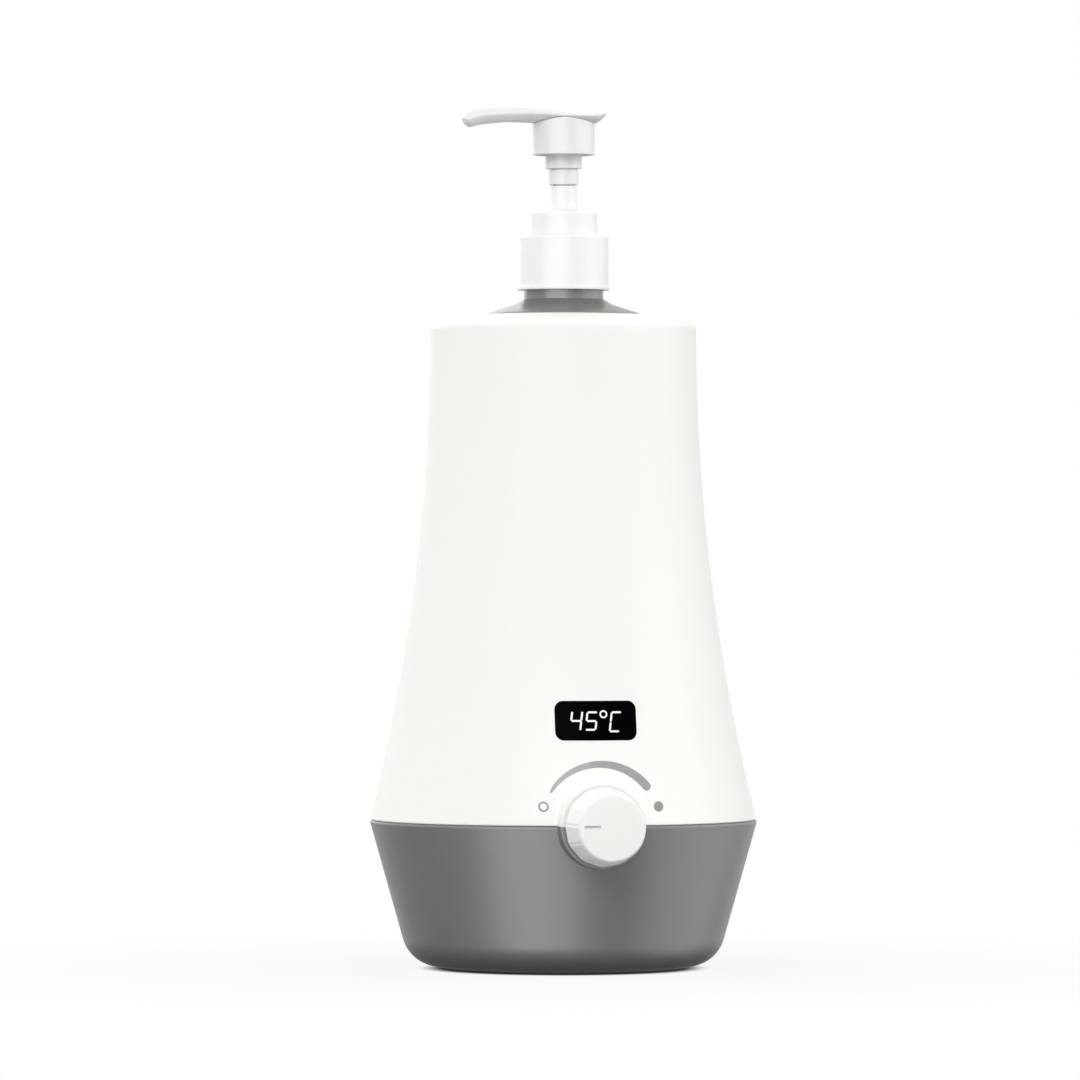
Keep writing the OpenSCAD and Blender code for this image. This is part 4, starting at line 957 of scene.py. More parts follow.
# %% Screw posts
SCREW_HEAD_R, SCREW_HOLE_R = 2.8, 1.7
WELL_R, WELL_FROM, POST_R = 3.3, -5, 4.9
SEAT_UP = 2.2
POST_STEPS = 48
screws_low, screws_high = box_mm("housing_screws")
screw_at = screws_high.x - SCREW_HEAD_R
screw_seat_z = screws_low.z + SEAT_UP


def four_posts(name, radius, low, high):
    """Four upright rods on the screws' circle, in one mesh."""
    whole = rod(name, radius, low, high, bowl_grey, POST_STEPS)
    mesh = bmesh.new()
    for x in (-1, 1):
        for y in (-1, 1):
            copy = whole.data.copy()
            copy.transform(Matrix.Translation((x * screw_at * MM, y * screw_at * MM, 0)))
            mesh.from_mesh(copy)
            bpy.data.meshes.remove(copy)
    mesh.to_mesh(whole.data)
    mesh.free()
    return whole


def solid_bowl():
    """The bowl's outside as one solid, to trim what is joined to the bowl."""
    return turned("solid_bowl", [(0, bowl_low.z)] + bowl_side + [(0, bowl_rim_z)], bowl_grey, SHELL_STEPS)


posts = four_posts("posts", POST_R, floor_z - CUT_PAST, bowl_rim_z + SHOWN_GAP)
print("screws stand at", round(screw_at, 2), "from the axis")

# %% [markdown]
# The inlet lies in a pocket with a wall of its own, so that the bowl isn't left open where its side leans
# away. Posts and pocket are trimmed by the bowl's outside before they join it, and nothing then sticks out.

# %% Inlet pocket and bowl
INLET_FLANGE_T = 1.5
POCKET_W, POCKET_H, POCKET_R = 25.0, 17.0, 2.0
BODY_HOLE_W, BODY_HOLE_H, BODY_HOLE_R = 19.4, 11.4, 1.0
inlet_low, inlet_high = box_mm("mains_inlet")
inlet_z = ((inlet_low + inlet_high) / 2).z
pocket_y = inlet_high.y - INLET_FLANGE_T
past_bowl = 2 * BODY_R
pocket_wall = prism("pocket_wall", POCKET_W + 2 * WALL, POCKET_H + 2 * WALL, POCKET_R + WALL,
                    pocket_y - WALL, past_bowl, inlet_z, bowl_grey)
pocket = prism("pocket", POCKET_W, POCKET_H, POCKET_R, pocket_y, past_bowl, inlet_z, bowl_grey)
passage = prism("passage", BODY_HOLE_W, BODY_HOLE_H, BODY_HOLE_R, BODY_R / 2, past_bowl, inlet_z, bowl_grey)
carve(posts, ("UNION", pocket_wall), ("INTERSECT", solid_bowl()))
carve(
    bowl,
    ("UNION", posts),
    ("UNION", half_boss("lower_boss", 0, bowl_rim_z, bowl_grey)),
    ("DIFFERENCE", boss_room(bowl_grey)),
    ("DIFFERENCE", four_posts("wells", WELL_R, WELL_FROM, screw_seat_z)),
    ("DIFFERENCE", four_posts("holes", SCREW_HOLE_R, WELL_FROM, BODY_R)),
    ("DIFFERENCE", pocket),
    ("DIFFERENCE", passage),
)
dress(smooth(close_up(bowl)), "housing", "bowl_grey", "base_bowl")

# %% [markdown]
# Small plugs close the screw wells, flush with the bowl's round edge, so that the bottom edge stays clean.
# They are rods trimmed by the bowl's own outside, which gives their ends its curve.

# %% Well plugs
PLUG_R, PLUG_TOP = 3.25, 5.0
plugs = four_posts("well_plugs", PLUG_R, bowl_low.z - CUT_PAST, PLUG_TOP)
carve(plugs, ("INTERSECT", solid_bowl()))
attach(smooth(close_up(plugs)), "housing")
print(plugs.name, "has", len(plugs.data.polygons), "faces")

# %% [markdown]
# The window, the lit digits and the printed scale all lie on the flared side. A Shrinkwrap modifier could
# press them on, but it follows the shell's facets. Instead they are drawn flat, as thin slabs in the plane
# of the front, and one Geometry Nodes tree lays each of them on the true arc: a slab's own depth becomes its
# height above the shell's surface, so a print stays even in thickness round the curve.

# %% A tree that lays a flat slab on the shell
laying, given, gives = new_shape_tree(
    "laid_on_shell", [("Top", "Float"), ("Bend", "Float"), ("Height", "Float"), ("Finish", "Material")])
flat = add_node(laying, "ShaderNodeSeparateXYZ")
feed(laying, flat.inputs[0], add_node(laying, "GeometryNodeInputPosition").outputs[0])


def other_side(tree, long, short):
    """The third side of a right triangle, from its long side and a short one."""
    squares = [calc(tree, "MULTIPLY", side, side) for side in (long, short)]
    return calc(tree, "SQRT", calc(tree, "SUBTRACT", *squares))


drop = calc(laying, "SUBTRACT", given["Height"], flat.outputs["Z"])
across = other_side(laying, given["Bend"], drop)
skin = calc(laying, "SUBTRACT", calc(laying, "ADD", given["Top"], given["Bend"]), across)
reach = calc(laying, "ADD", skin, flat.outputs["Y"])
ahead = calc(laying, "MULTIPLY", other_side(laying, reach, flat.outputs["X"]), -1.0)
laid = put_at(laying, given["Geometry"], flat.outputs["X"], ahead, flat.outputs["Z"])
end_in_material(laying, laid, given, gives)


# %% Flat slabs
def add_slab(mesh, rows, back, front, ring=False):
    """Adds a thin slab whose face is a grid of (x, z) points, between two depths, in millimetres."""
    across = len(rows[0])
    under, over = [[[mesh.verts.new((x * MM, depth * MM, z * MM)) for x, z in row] for row in rows]
                   for depth in (back, front)]
    last = len(rows) if ring else len(rows) - 1
    for i in range(last):
        j = (i + 1) % len(rows)
        for k in range(across - 1):
            for level in (under, over):
                mesh.faces.new((level[i][k], level[j][k], level[j][k + 1], level[i][k + 1]))
        for k in (0, across - 1):
            mesh.faces.new((under[i][k], under[j][k], over[j][k], over[i][k]))
    if not ring:
        for i in (0, len(rows) - 1):
            for k in range(across - 1):
                mesh.faces.new((under[i][k], under[i][k + 1], over[i][k + 1], over[i][k]))


def lay(name, slabs, back, front, finish, edge=0.0):
    """A piece made of flat slabs (rows, ring) that lies on the shell."""
    mesh = bmesh.new()
    for rows, ring in slabs:
        add_slab(mesh, rows, back, front, ring)
    bmesh.ops.recalc_face_normals(mesh, faces=mesh.faces)
    made = from_bmesh(name, mesh)
    if edge:
        soften(made, edge, 2)
    shape_by(made, laying, Top=TOP_R * MM, Bend=flare_r * MM, Height=flare_top * MM, Finish=finish)
    print(name, "is laid from", len(slabs), "slabs")
    return smooth(close_up(made))


# %% [markdown]
# The window is a smoked panel, flush with the shell. Its slab is drawn in columns that stand closer together
# where the corners turn, so the panel is cut to its rounded shape by its own points, and a fine bevel on its
# edge draws the line between panel and shell.

# %% Window
WINDOW_T = 1.6
WINDOW_EDGE = 0.12
WINDOW_ACROSS, WINDOW_UP = 24, 9


def window_columns():
    """Columns of the rounded window, close together where its corners turn."""
    w, h = window_w / 2, window_h / 2
    turn = [w - WINDOW_R + WINDOW_R * math.sin(math.radians(a)) for a in range(0, 91, 6)]
    xs = [-x for x in turn[::-1]] + list(np.linspace(-turn[0], turn[0], WINDOW_ACROSS))[1:-1] + turn
    columns = []
    for x in xs:
        inward = max(0.0, abs(x) - (w - WINDOW_R))
        half = h - WINDOW_R + math.sqrt(WINDOW_R ** 2 - inward ** 2)
        columns.append([(x, window_z + half * s) for s in np.linspace(-1, 1, WINDOW_UP)])
    return columns


window = lay("window", [(window_columns(), False)], -WINDOW_T, 0.0, window_black, WINDOW_EDGE)
dress(window, "housing", "window_black", "display_window")

# %% [markdown]
# The display shows a temperature in slanted seven-segment figures. Each lit segment is a short stroke with
# round ends, and the degree sign is a ring. A text object could give figures too, but not the segments of a
# display. A figure is a list of the segments that are lit, so the whole reading is a loop over strokes.

# %% Strokes and rings
def stroke_rows(start, end, width):
    """Rows across a straight stroke with round ends."""
    start, end = Vector(start), Vector(end)
    along = (end - start).normalized()
    side = Vector((-along.y, along.x))
    half = width / 2
    length = (end - start).length
    steps = [half * (1 - math.cos(math.radians(a))) - half for a in range(10, 91, 10)]
    reach = steps + list(np.linspace(0, length, 6))[1:-1] + [length - s for s in steps[::-1]]
    rows = []
    for s in reach:
        past = max(-s, s - length, 0.0)
        across = math.sqrt(max(half ** 2 - past ** 2, 0.0))
        middle = start + along * s
        rows.append([tuple(middle + side * across * k) for k in (-1, 0, 1)])
    return rows


def ring_rows(middle, radius, width, steps=48):
    """Rows across a ring of a line's width."""
    rows = []
    for i in range(steps):
        a = math.tau * i / steps
        ray = Vector((math.cos(a), math.sin(a)))
        rows.append([tuple(middle + ray * r) for r in (radius - width / 2, radius + width / 2)])
    return rows


print("rows of a stroke:", len(stroke_rows((0, 0), (4, 0), 1)))


# %% Lit figures
FIGURE_W = 3.45
SEGMENT_W, SEGMENT_GAP = 0.63, 0.42
SLANT = math.tan(math.radians(8.5))
GLOW_BACK, GLOW_FRONT = -0.2, 0.02
SEGMENT_ENDS = {
    "top": ((-1, 1), (1, 1)), "middle": ((-1, 0), (1, 0)), "bottom": ((-1, -1), (1, -1)),
    "upper_left": ((-1, 0), (-1, 1)), "upper_right": ((1, 0), (1, 1)),
    "lower_left": ((-1, -1), (-1, 0)), "lower_right": ((1, -1), (1, 0)),
}
FOUR = ("upper_left", "upper_right", "middle", "lower_right")
FIVE = ("top", "upper_left", "middle", "lower_right", "bottom")
CELSIUS = ("top", "upper_left", "lower_left", "bottom")
# Each figure: its lit segments, its place from the window's middle, and its height.
FIGURES = ((FOUR, -7.0, -0.05, 6.45), (FIVE, -1.75, -0.1, 5.95), (CELSIUS, 6.72, -0.4, 6.5))
DEGREE_X, DEGREE_Z = 2.5, 2.2
DEGREE_R, DEGREE_W = 1.1, 0.52


def segment(name, x, z, height):
    """End points of a segment's stroke, drawn back from the corners and slanted."""
    a, b = [Vector((i * FIGURE_W / 2, j * height / 2)) for i, j in SEGMENT_ENDS[name]]
    back = (b - a).normalized() * SEGMENT_GAP
    return [(p.x + p.y * SLANT + x, p.y + z) for p in (a + back, b - back)]


strokes = []
for lit_segments, x, z, height in FIGURES:
    for part in lit_segments:
        strokes.append((stroke_rows(*segment(part, x, window_z + z, height), SEGMENT_W), False))
strokes.append((ring_rows(Vector((DEGREE_X, window_z + DEGREE_Z)), DEGREE_R, DEGREE_W), True))
figures = lay("lit_figures", strokes, GLOW_BACK, GLOW_FRONT, lit_white)
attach(figures, "housing")

# %% [markdown]
# Round the knob a scale is printed on the shell: an arc that swells from low to high in two greys, with an
# open ring at its low end and a full dot at its high end. It could be painted by the shell's material, but
# as thin films the prints keep sharp edges in the export too. They stand a fiftieth of a millimetre proud.

# %% Rows of the printed scale
SCALE_R = 20.0
SCALE_START, SCALE_SPLIT, SCALE_END = 144.6, 98.0, 39.2
SCALE_STEPS = 28
THIN, THICK, SWELL = 0.85, 3.1, 0.62
SCALE_X, SCALE_DROP = 0.25, 0.15
PRINT_ACROSS = 5
scale_middle = Vector((SCALE_X, seam_z - SCALE_DROP))


def scale_width(turn):
    share = (SCALE_START - turn) / (SCALE_START - SCALE_END)
    return THIN + (THICK - THIN) * share ** SWELL


def scale_row(turn, inner, outer):
    ray = Vector((math.cos(math.radians(turn)), math.sin(math.radians(turn))))
    return [tuple(scale_middle + ray * r) for r in np.linspace(inner, outer, PRINT_ACROSS)]


def scale_cap(turn, outward):
    """Rows of a round end of the arc, from its tip inwards. outward is the side of the turn it lies on."""
    half_width = scale_width(turn) / 2
    middle = SCALE_R + half_width
    rows = []
    for a in np.radians(range(10, 90, 10)):
        past = math.degrees(half_width * math.cos(a) / middle)
        half = half_width * math.sin(a)
        rows.append(scale_row(turn + outward * past, middle - half, middle + half))
    return rows


def scale_arc(first, last):
    """Rows across the swelling arc, from one angle down to another."""
    return [scale_row(t, SCALE_R, SCALE_R + scale_width(t)) for t in np.linspace(first, last, SCALE_STEPS)]


def disc_rows(middle, radius):
    """Rows across a full dot."""
    rows = []
    for a in range(10, 171, 10):
        x = -radius * math.cos(math.radians(a))
        half = radius * math.sin(math.radians(a))
        rows.append([(middle.x + x, middle.y + half * s) for s in np.linspace(-1, 1, PRINT_ACROSS)])
    return rows


print("widest part of the scale:", round(scale_width(SCALE_END), 2))

# %% Printed scale and its marks
PRINT_BACK, PRINT_FRONT = -0.1, 0.02
LOW_MARK, HIGH_MARK = Vector((-19.4, 6.8)), Vector((20.85, 6.65))
RING_R, RING_W, DOT_R = 1.46, 0.62, 1.78
low_arc = scale_cap(SCALE_START, 1) + scale_arc(SCALE_START, SCALE_SPLIT)
high_arc = scale_arc(SCALE_SPLIT, SCALE_END) + scale_cap(SCALE_END, -1)[::-1]
prints = (
    ("scale_low", [(low_arc, False)], low_print),
    ("scale_high", [(high_arc, False)], high_print),
    ("low_mark", [(ring_rows(scale_middle + LOW_MARK, RING_R, RING_W), True)], mark_print),
    ("high_mark", [(disc_rows(scale_middle + HIGH_MARK, DOT_R), False)], mark_print),
)
for name, slabs, finish in prints:
    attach(lay(name, slabs, PRINT_BACK, PRINT_FRONT, finish), "housing")

# %% [markdown]
# The knob is a tapered cap with twelve flat sides for the fingers. The flats fade out just below the face,
# so the face keeps a clean round edge, and a shallow nick marks each corner between two flats. Twelve cuts
# with a box would leave hard ends. Here the wall is one grid of points whose radius is a formula of angle
# and height, which gives all twelve at once and lets them fade. Like the boss, the knob's back and radius
# were measured closer than the solid's, behind the same face.


# %% Side of the knob
FLATS, STEPS_PER_FLAT = 12, 36
KNOB_STEPS = FLATS * STEPS_PER_FLAT
FLAT_TURN = 5 * math.tau / KNOB_STEPS
KNOB_R, KNOB_FACE_R, KNOB_L = 13.7, 11.55, 14.2
FADE_LOW, FADE_HIGH = 2.8, 1.0
NICK_W, NICK_DEPTH = 0.3, 0.16
NICK_FROM, NICK_FULL = 0.4, 2.5
flats_end = KNOB_L - FADE_LOW


def ease(value, low, high):
    t = np.clip((value - low) / (high - low), 0, 1)
    return t * t * (3 - 2 * t)


def knob_side(h, angle):
    """Radius of the knob's side at a height and angle: the cone, cut by flats, nicked at the corners."""
    cone = KNOB_R - (KNOB_R - KNOB_FACE_R) * h / KNOB_L
    sector = math.tau / FLATS
    off = (angle + FLAT_TURN + sector / 2) % sector - sector / 2
    from_flat = np.abs(off) - sector / 2
    flat_r = cone * (1 + math.cos(sector / 2)) / 2 / np.cos(from_flat)
    held = 1 - ease(h, flats_end, KNOB_L - FADE_HIGH)
    cut = np.minimum(cone, flat_r)
    nick = NICK_DEPTH * np.exp(-(off * cone / NICK_W) ** 2) * ease(h, NICK_FROM, NICK_FULL)
    return cone + (cut - cone - nick) * held


corner_and_flat = np.array([0, math.pi / FLATS]) - FLAT_TURN
print("radius on a corner and on a flat:", knob_side(flats_end / 2, corner_and_flat).round(2))

# %% Wall of the knob
KNOB_EDGE_R, KNOB_BACK_R, BACK_STEP = 0.9, 0.4, 0.12
FLAT_ROWS, FADE_ROWS = 14, 16
FACE_SHARES = (0.75, 0.5, 0.25, 0.05)
knob_low, _ = box_mm("control_knob")
knob_back = knob_low.y + KNOB_L
knob_place = Matrix.Translation((0, knob_back * MM, 0)) @ to_front


def loft(mesh, loops):
    """Faces between neighbouring loops of points, and a face over each end."""
    for near, far in zip(loops, loops[1:]):
        for i in range(len(near)):
            mesh.faces.new((near[i - 1], near[i], far[i], far[i - 1]))
    mesh.faces.new(loops[-1])
    mesh.faces.new(loops[0][::-1])


turns = np.arange(KNOB_STEPS) * math.tau / KNOB_STEPS
heights = np.concatenate([np.linspace(KNOB_BACK_R, flats_end, FLAT_ROWS, endpoint=False),
                          np.linspace(flats_end, KNOB_L - KNOB_EDGE_R, FADE_ROWS)])
back_edge, front_edge = knob_side(0.0, turns), knob_side(KNOB_L, turns)
rings = [(0.0, back_edge - KNOB_BACK_R), (BACK_STEP, back_edge - BACK_STEP)]
rings += [(h, knob_side(h, turns)) for h in heights]
for a in np.radians(np.arange(10, 91, 10)):
    inward = KNOB_EDGE_R * (1 - math.cos(a))
    rings.append((KNOB_L - KNOB_EDGE_R * (1 - math.sin(a)), front_edge - inward))
for share in FACE_SHARES:
    rings.append((KNOB_L, (KNOB_FACE_R - KNOB_EDGE_R) * share * np.ones_like(turns)))
mesh = bmesh.new()
loops = []
for h, radii in rings:
    points = [(r * math.cos(a), r * math.sin(a), h) for r, a in zip(radii, turns)]
    loops.append([mesh.verts.new([part * MM for part in point]) for point in points])
loft(mesh, loops)
knob = moved(from_bmesh("knob", mesh, knob_white, pointer_painted_shade), knob_place)
print("knob wall:", len(rings), "rings of", KNOB_STEPS)

# %% [markdown]
# The pointer is a short groove in the face, with a round-ended mouth and a keel that lies off its middle, so
# one flank is wide and catches the light while the other is steep. A convex hull of the mouth and the keel
# is its cutting tool. Behind, the knob is hollow, with a hub that takes the shaft.

# %% Pointer and socket of the knob
POINTER_L, POINTER_W, POINTER_DEPTH = 5.9, 1.3, 0.9
POINTER_WALL, POINTER_END = 0.45, 0.5
POINTER_X, POINTER_Z = -6.9, 0.33
HUB_R, SHAFT_R, KNOB_WALL, KNOB_TOP_T = 5.0, 3.05, 1.8, 3.5
HOLLOW_EDGE_R = 1.0
SOCKET_STEPS = 64
KNOB_SHARP = math.radians(30)
hollow_depth = KNOB_L - KNOB_TOP_T
hollow = turned("hollow", [
    (HUB_R, -CUT_PAST), (KNOB_R - KNOB_WALL, -CUT_PAST),
    (KNOB_FACE_R - KNOB_WALL, hollow_depth, HOLLOW_EDGE_R), (HUB_R, hollow_depth),
], knob_white)
socket = rod("socket", SHAFT_R, -CUT_PAST, hollow_depth, knob_white, SOCKET_STEPS)


def on_pointer(x, y, z):
    """A place given from the pointer's middle on the knob's face, in metres."""
    return (x + POINTER_X) * MM, (knob_low.y + y) * MM, (seam_z + POINTER_Z + z) * MM


mouth_x = (POINTER_L - POINTER_W) / 2
mesh = bmesh.new()
for row in stroke_rows((-mouth_x, 0), (mouth_x, 0), POINTER_W):
    for x, z in row:
        for y in (-CUT_PAST, 0.0):
            mesh.verts.new(on_pointer(x, y, z))
keel_x, keel_z = POINTER_L / 2 - POINTER_END, POINTER_W / 2 - POINTER_WALL
for side in (-1, 1):
    mesh.verts.new(on_pointer(side * keel_x, POINTER_DEPTH, keel_z))
bmesh.ops.convex_hull(mesh, input=mesh.verts)
# The groove's faces take this cutter's finish, which is painted shade.
pointer = close_up(from_bmesh("pointer", mesh, pointer_painted_shade))
carve(knob, ("DIFFERENCE", moved(hollow, knob_place)), ("DIFFERENCE", moved(socket, knob_place)),
      ("DIFFERENCE", pointer))
dress(smooth(close_up(knob), KNOB_SHARP), "knob", "knob_white", "control_knob")

# %% [markdown]
# The bottle is grey like the bowl but glossier. Only its shoulder and neck show at rest: the shoulder falls
# from the neck in a hollow curve and ends in the rim's slope. The whole bottle is turned all the same, with
# its domed floor and its inside, because it lifts out of the well.

# %% Bottle
BOTTLE_WALL = 1.5
BOTTLE_DOME, DOME_R, STAND_R = 1.2, 9.0, 11.5
NECK_R, NECK_BORE_R, ROOT_R = 13.9, 11.0, 12.55
NECK_RING_UP = 1.0
SHOULDER_RISE, SHOULDER_OUT, SHOULDER_LOW, SHOULDER_BEND = 4.2, 3.2, 0.18, 6.0
bottle_low, bottle_high = box_mm("bottle")
collar_low, collar_high = box_mm("screw_collar")
bottle_r = bottle_high.x
bottle_inner_r = bottle_r - BOTTLE_WALL
dome_z = bottle_low.z + BOTTLE_DOME
land_z = bottle_high.z
neck_z = rim_z + SHOULDER_RISE
ring_top = collar_low.z + NECK_RING_UP
shoulder = (NECK_R + SHOULDER_OUT, neck_z - SHOULDER_RISE * SHOULDER_LOW, SHOULDER_BEND)
bottle = turned("bottle_shape", [
    (0, dome_z), (DOME_R, dome_z, 2.0), (STAND_R, bottle_low.z, 1.2), (bottle_r, bottle_low.z, 3.0),
    (bottle_r, rim_z + 0.1, 1.5), shoulder, (NECK_R, neck_z + 1.2), (NECK_R, ring_top, 0.4),
    (ROOT_R, ring_top), (ROOT_R, land_z, 0.3),
    (NECK_BORE_R, land_z, 0.3), (NECK_BORE_R, neck_z - BOTTLE_WALL, 1.5),
    (bottle_inner_r, rim_z - BOTTLE_WALL, 1.5), (bottle_inner_r, dome_z + BOTTLE_WALL, 2.0),
    (0, dome_z + BOTTLE_WALL),
], bottle_grey)
print("neck from", round(neck_z, 1), "to", round(land_z, 1))

# %% [markdown]
# A thread is a ridge that follows a spiral and thins out at both ends. The Screw modifier makes spirals, but
# it can't thin them out, so a tree on the same grid as the turning sweeps a section along the spiral and
# scales it by a mask. The pump's return spring is later wound by the same tree.

# %% A tree that winds a section along a spiral
winding, given, gives = new_shape_tree(
    "wound_thread",
    [("Steps", "Int"), ("Turns", "Float"), ("Pitch", "Float"), ("Radius", "Float"), ("Start", "Float"),
     ("Taper", "Float"), ("Finish", "Material")])
coil, column, section_x, section_z = swept_grid(winding, given)
share = calc(winding, "DIVIDE", column, given["Steps"])
rising = soft_step(winding, share, 0.0, given["Taper"])
falling = soft_step(winding, calc(winding, "SUBTRACT", 1.0, share), 0.0, given["Taper"])
thick = calc(winding, "MULTIPLY", rising, falling)
turn_share = calc(winding, "MULTIPLY", share, given["Turns"])
angle = calc(winding, "MULTIPLY", turn_share, math.tau)
reach = calc(winding, "MULTIPLY_ADD", section_x, thick, given["Radius"])
level = calc(winding, "MULTIPLY_ADD", turn_share, given["Pitch"], given["Start"])
height = calc(winding, "MULTIPLY_ADD", section_z, thick, level)
wound = put_at(winding, coil, *round_axis(winding, reach, angle), height)
end_in_material(winding, wound, given, gives)

# %% Thread of the neck
CREST_R = 13.65
THREAD_PITCH, THREAD_TURNS, THREAD_LEAD_IN = 4.23, 1.5, 1.6
THREAD_STEPS, THREAD_TAPER = 140, 0.08
RIDGE_W, RIDGE_BASE_W, RIDGE_SINK, RIDGE_ROUND = 0.7, 1.5, 0.05, 0.9
thread_low_z = land_z - THREAD_TURNS * THREAD_PITCH - THREAD_LEAD_IN


def wind(name, profile, radius, pitch, turns, start, steps, taper, finish):
    """Sweeps a section along a spiral that winds up from a height and thins out at both ends."""
    mesh = bpy.data.meshes.new(name)
    mesh.from_pydata([(x * MM, 0, z * MM) for x, z in profile], [], [])
    return shape_by(link_object(name, mesh), winding, Pitch=pitch * MM, Radius=radius * MM, Start=start * MM,
                    Steps=steps, Turns=turns, Taper=taper, Finish=finish)


def thread(name, root, crest, turns, start, finish):
    """A rounded ridge from a root radius out, or in, to a crest radius."""
    tip = crest - root
    sunk = -math.copysign(RIDGE_SINK, tip)
    profile = [(sunk, -RIDGE_BASE_W / 2), (tip * RIDGE_ROUND, -RIDGE_W / 2), (tip, -RIDGE_W / 4),
               (tip, RIDGE_W / 4), (tip * RIDGE_ROUND, RIDGE_W / 2), (sunk, RIDGE_BASE_W / 2)]
    return wind(name, profile, root, THREAD_PITCH, turns, start, THREAD_STEPS, THREAD_TAPER, finish)


def join(first, *others):
    """One object from several, with their materials."""
    with bpy.context.temp_override(active_object=first, selected_editable_objects=[first, *others]):
        bpy.ops.object.join()
    return first


neck_thread = thread("neck_thread", ROOT_R, CREST_R, THREAD_TURNS, thread_low_z, bottle_grey)
dress(join(smooth(bottle), smooth(neck_thread)), "bottle_body", "bottle_grey", "bottle")

# %% [markdown]
# The pump is stacked on the neck: the screw collar with a small bead at its foot, the lock ring, the stem,
# and the head with its guide, its stop and its cylinder. Every step has a small rounded edge, because it is
# these edges that catch the light on a white moulding.

# %% Screw collar
COLLAR_R, COLLAR_BORE_R, COLLAR_CREST_R = 15.8, 14.2, 13.0
COLLAR_TOP_T, BEAD_H, BEAD_EDGE_R = 1.5, 1.2, 0.25
FINE_EDGE_R, TOP_EDGE = 0.2, 1.0
THREAD_SHORTER = 0.25
FIT_GAP = 0.2
lock_low, lock_high = box_mm("lock_ring")
lock_r = lock_high.x
plate_z = collar_high.z - COLLAR_TOP_T
bead_top = collar_low.z + BEAD_H
collar = turned("collar", [
    (COLLAR_BORE_R, collar_low.z, FINE_EDGE_R), (collar_high.x, collar_low.z, BEAD_EDGE_R),
    (collar_high.x, bead_top, BEAD_EDGE_R), (COLLAR_R, bead_top + BEAD_EDGE_R, FINE_EDGE_R),
    (COLLAR_R, collar_high.z, TOP_EDGE), (lock_r + FIT_GAP, collar_high.z, FINE_EDGE_R),
    (lock_r + FIT_GAP, plate_z), (COLLAR_BORE_R, plate_z),
], pump_white)
collar_thread = thread("collar_thread", COLLAR_BORE_R, COLLAR_CREST_R, THREAD_TURNS - THREAD_SHORTER,
                       thread_low_z - THREAD_PITCH / 2, pump_white)
dress(join(smooth(collar), smooth(collar_thread)), "collar", "pump_white", "screw_collar")

# %% [markdown]
# The lock ring sits in the collar's mouth and guides the stem. Below, a tube reaches down into the pump's
# cylinder, and the groove round that tube takes the cylinder's upper end. One turned outline has it all.

# %% Lock ring
LOCK_BORE_R, LOCK_MOUTH_R = 5.75, 0.5
STOP_TUBE_R = 7.3
SNAP_R, SNAP_H, SNAP_GAP = 8.9, 4.2, 0.1
lock_seat_z = plate_z - SNAP_GAP
lock_ring = turned("lock_ring_shape", [
    (LOCK_BORE_R, lock_low.z), (STOP_TUBE_R, lock_low.z), (STOP_TUBE_R, lock_seat_z + SNAP_H),
    (SNAP_R, lock_seat_z + SNAP_H), (SNAP_R, lock_seat_z), (lock_r, lock_seat_z),
    (lock_r, lock_high.z, TOP_EDGE), (LOCK_BORE_R, lock_high.z, LOCK_MOUTH_R),
], pump_white)
dress(smooth(lock_ring), "pump_body", "pump_white", "lock_ring")

# %% [markdown]
# The stem is a tube that ends in a narrow spigot for the piston. Where it enters the head it has a fine
# groove, which draws the dark line under the guide.

# %% Stem
STEM_BORE_R, SPIGOT_R = 1.8, 3.0
STEM_GROOVE_H, STEM_GROOVE_R = 0.45, 3.7
STEM_STEPS = 96
stem_low, stem_high = box_mm("pump_stem")
_, piston_high = box_mm("piston")
head_low, _ = box_mm("pump_head")
stem_r = stem_high.x
groove_low, groove_high = head_low.z - STEM_GROOVE_H, head_low.z + STEM_GROOVE_H
stem = turned("stem", [
    (STEM_BORE_R, stem_low.z), (SPIGOT_R, stem_low.z), (SPIGOT_R, piston_high.z), (stem_r, piston_high.z),
    (stem_r, groove_low, 0.1), (STEM_GROOVE_R, groove_low), (STEM_GROOVE_R, groove_high),
    (stem_r, groove_high), (stem_r, stem_high.z, 0.3), (STEM_BORE_R, stem_high.z),
], pump_white, STEM_STEPS)
dress(smooth(stem), "plunger", "pump_white", "pump_stem")

# %% [markdown]
# The head's plate is a lens-shaped boat that thins to a nozzle, whose end leans. It could be sculpted from a
# subdivided cage, but a loft keeps its outline under control: each station along X gives the heights of the
# edge, the crown and the underside and the half width, and a smooth curve runs through the stations.

# %% Stations of the plate
HEAD_R, HEAD_H = 11.0, 11.0
GUIDE_H, STOP_H = 5.6, 4.8
SPOUT_RISE = 5.5
spout_reach = -head_low.x
stop_z = head_low.z + GUIDE_H
skirt_z = stop_z + STOP_H
head_top_z = skirt_z + HEAD_H
# Each station: its x, then edge, crown and underside in shares of the rise, and the half width in shares of
# the radius.
stations = np.array([
    (-spout_reach * 0.984, 0.17, 0.36, -0.12, 0.20),
    (-spout_reach * 0.973, 0.19, 0.46, -0.23, 0.30),
    (-spout_reach * 0.951, 0.24, 0.58, -0.275, 0.36),
    (-spout_reach * 0.90, 0.34, 0.76, -0.19, 0.40),
    (-spout_reach * 0.79, 0.50, 0.94, -0.085, 0.43),
    (-spout_reach * 0.57, 0.62, 1.00, 0.06, 0.49),
    (-spout_reach * 0.43, 0.64, 0.99, 0.06, 0.60),
    (-HEAD_R, 0.60, 0.94, 0.03, 0.79),
    (-HEAD_R * 0.5, 0.52, 0.85, 0.00, 0.95),
    (HEAD_R * 0.1, 0.44, 0.72, 0.00, 1.01),
    (HEAD_R * 0.6, 0.44, 0.66, 0.00, 0.96),
    (HEAD_R, 0.49, 0.65, 0.01, 0.81),
    (HEAD_R * 1.23, 0.60, 0.68, 0.30, 0.60),
    (HEAD_R * 1.33, 0.65, 0.69, 0.55, 0.42),
])
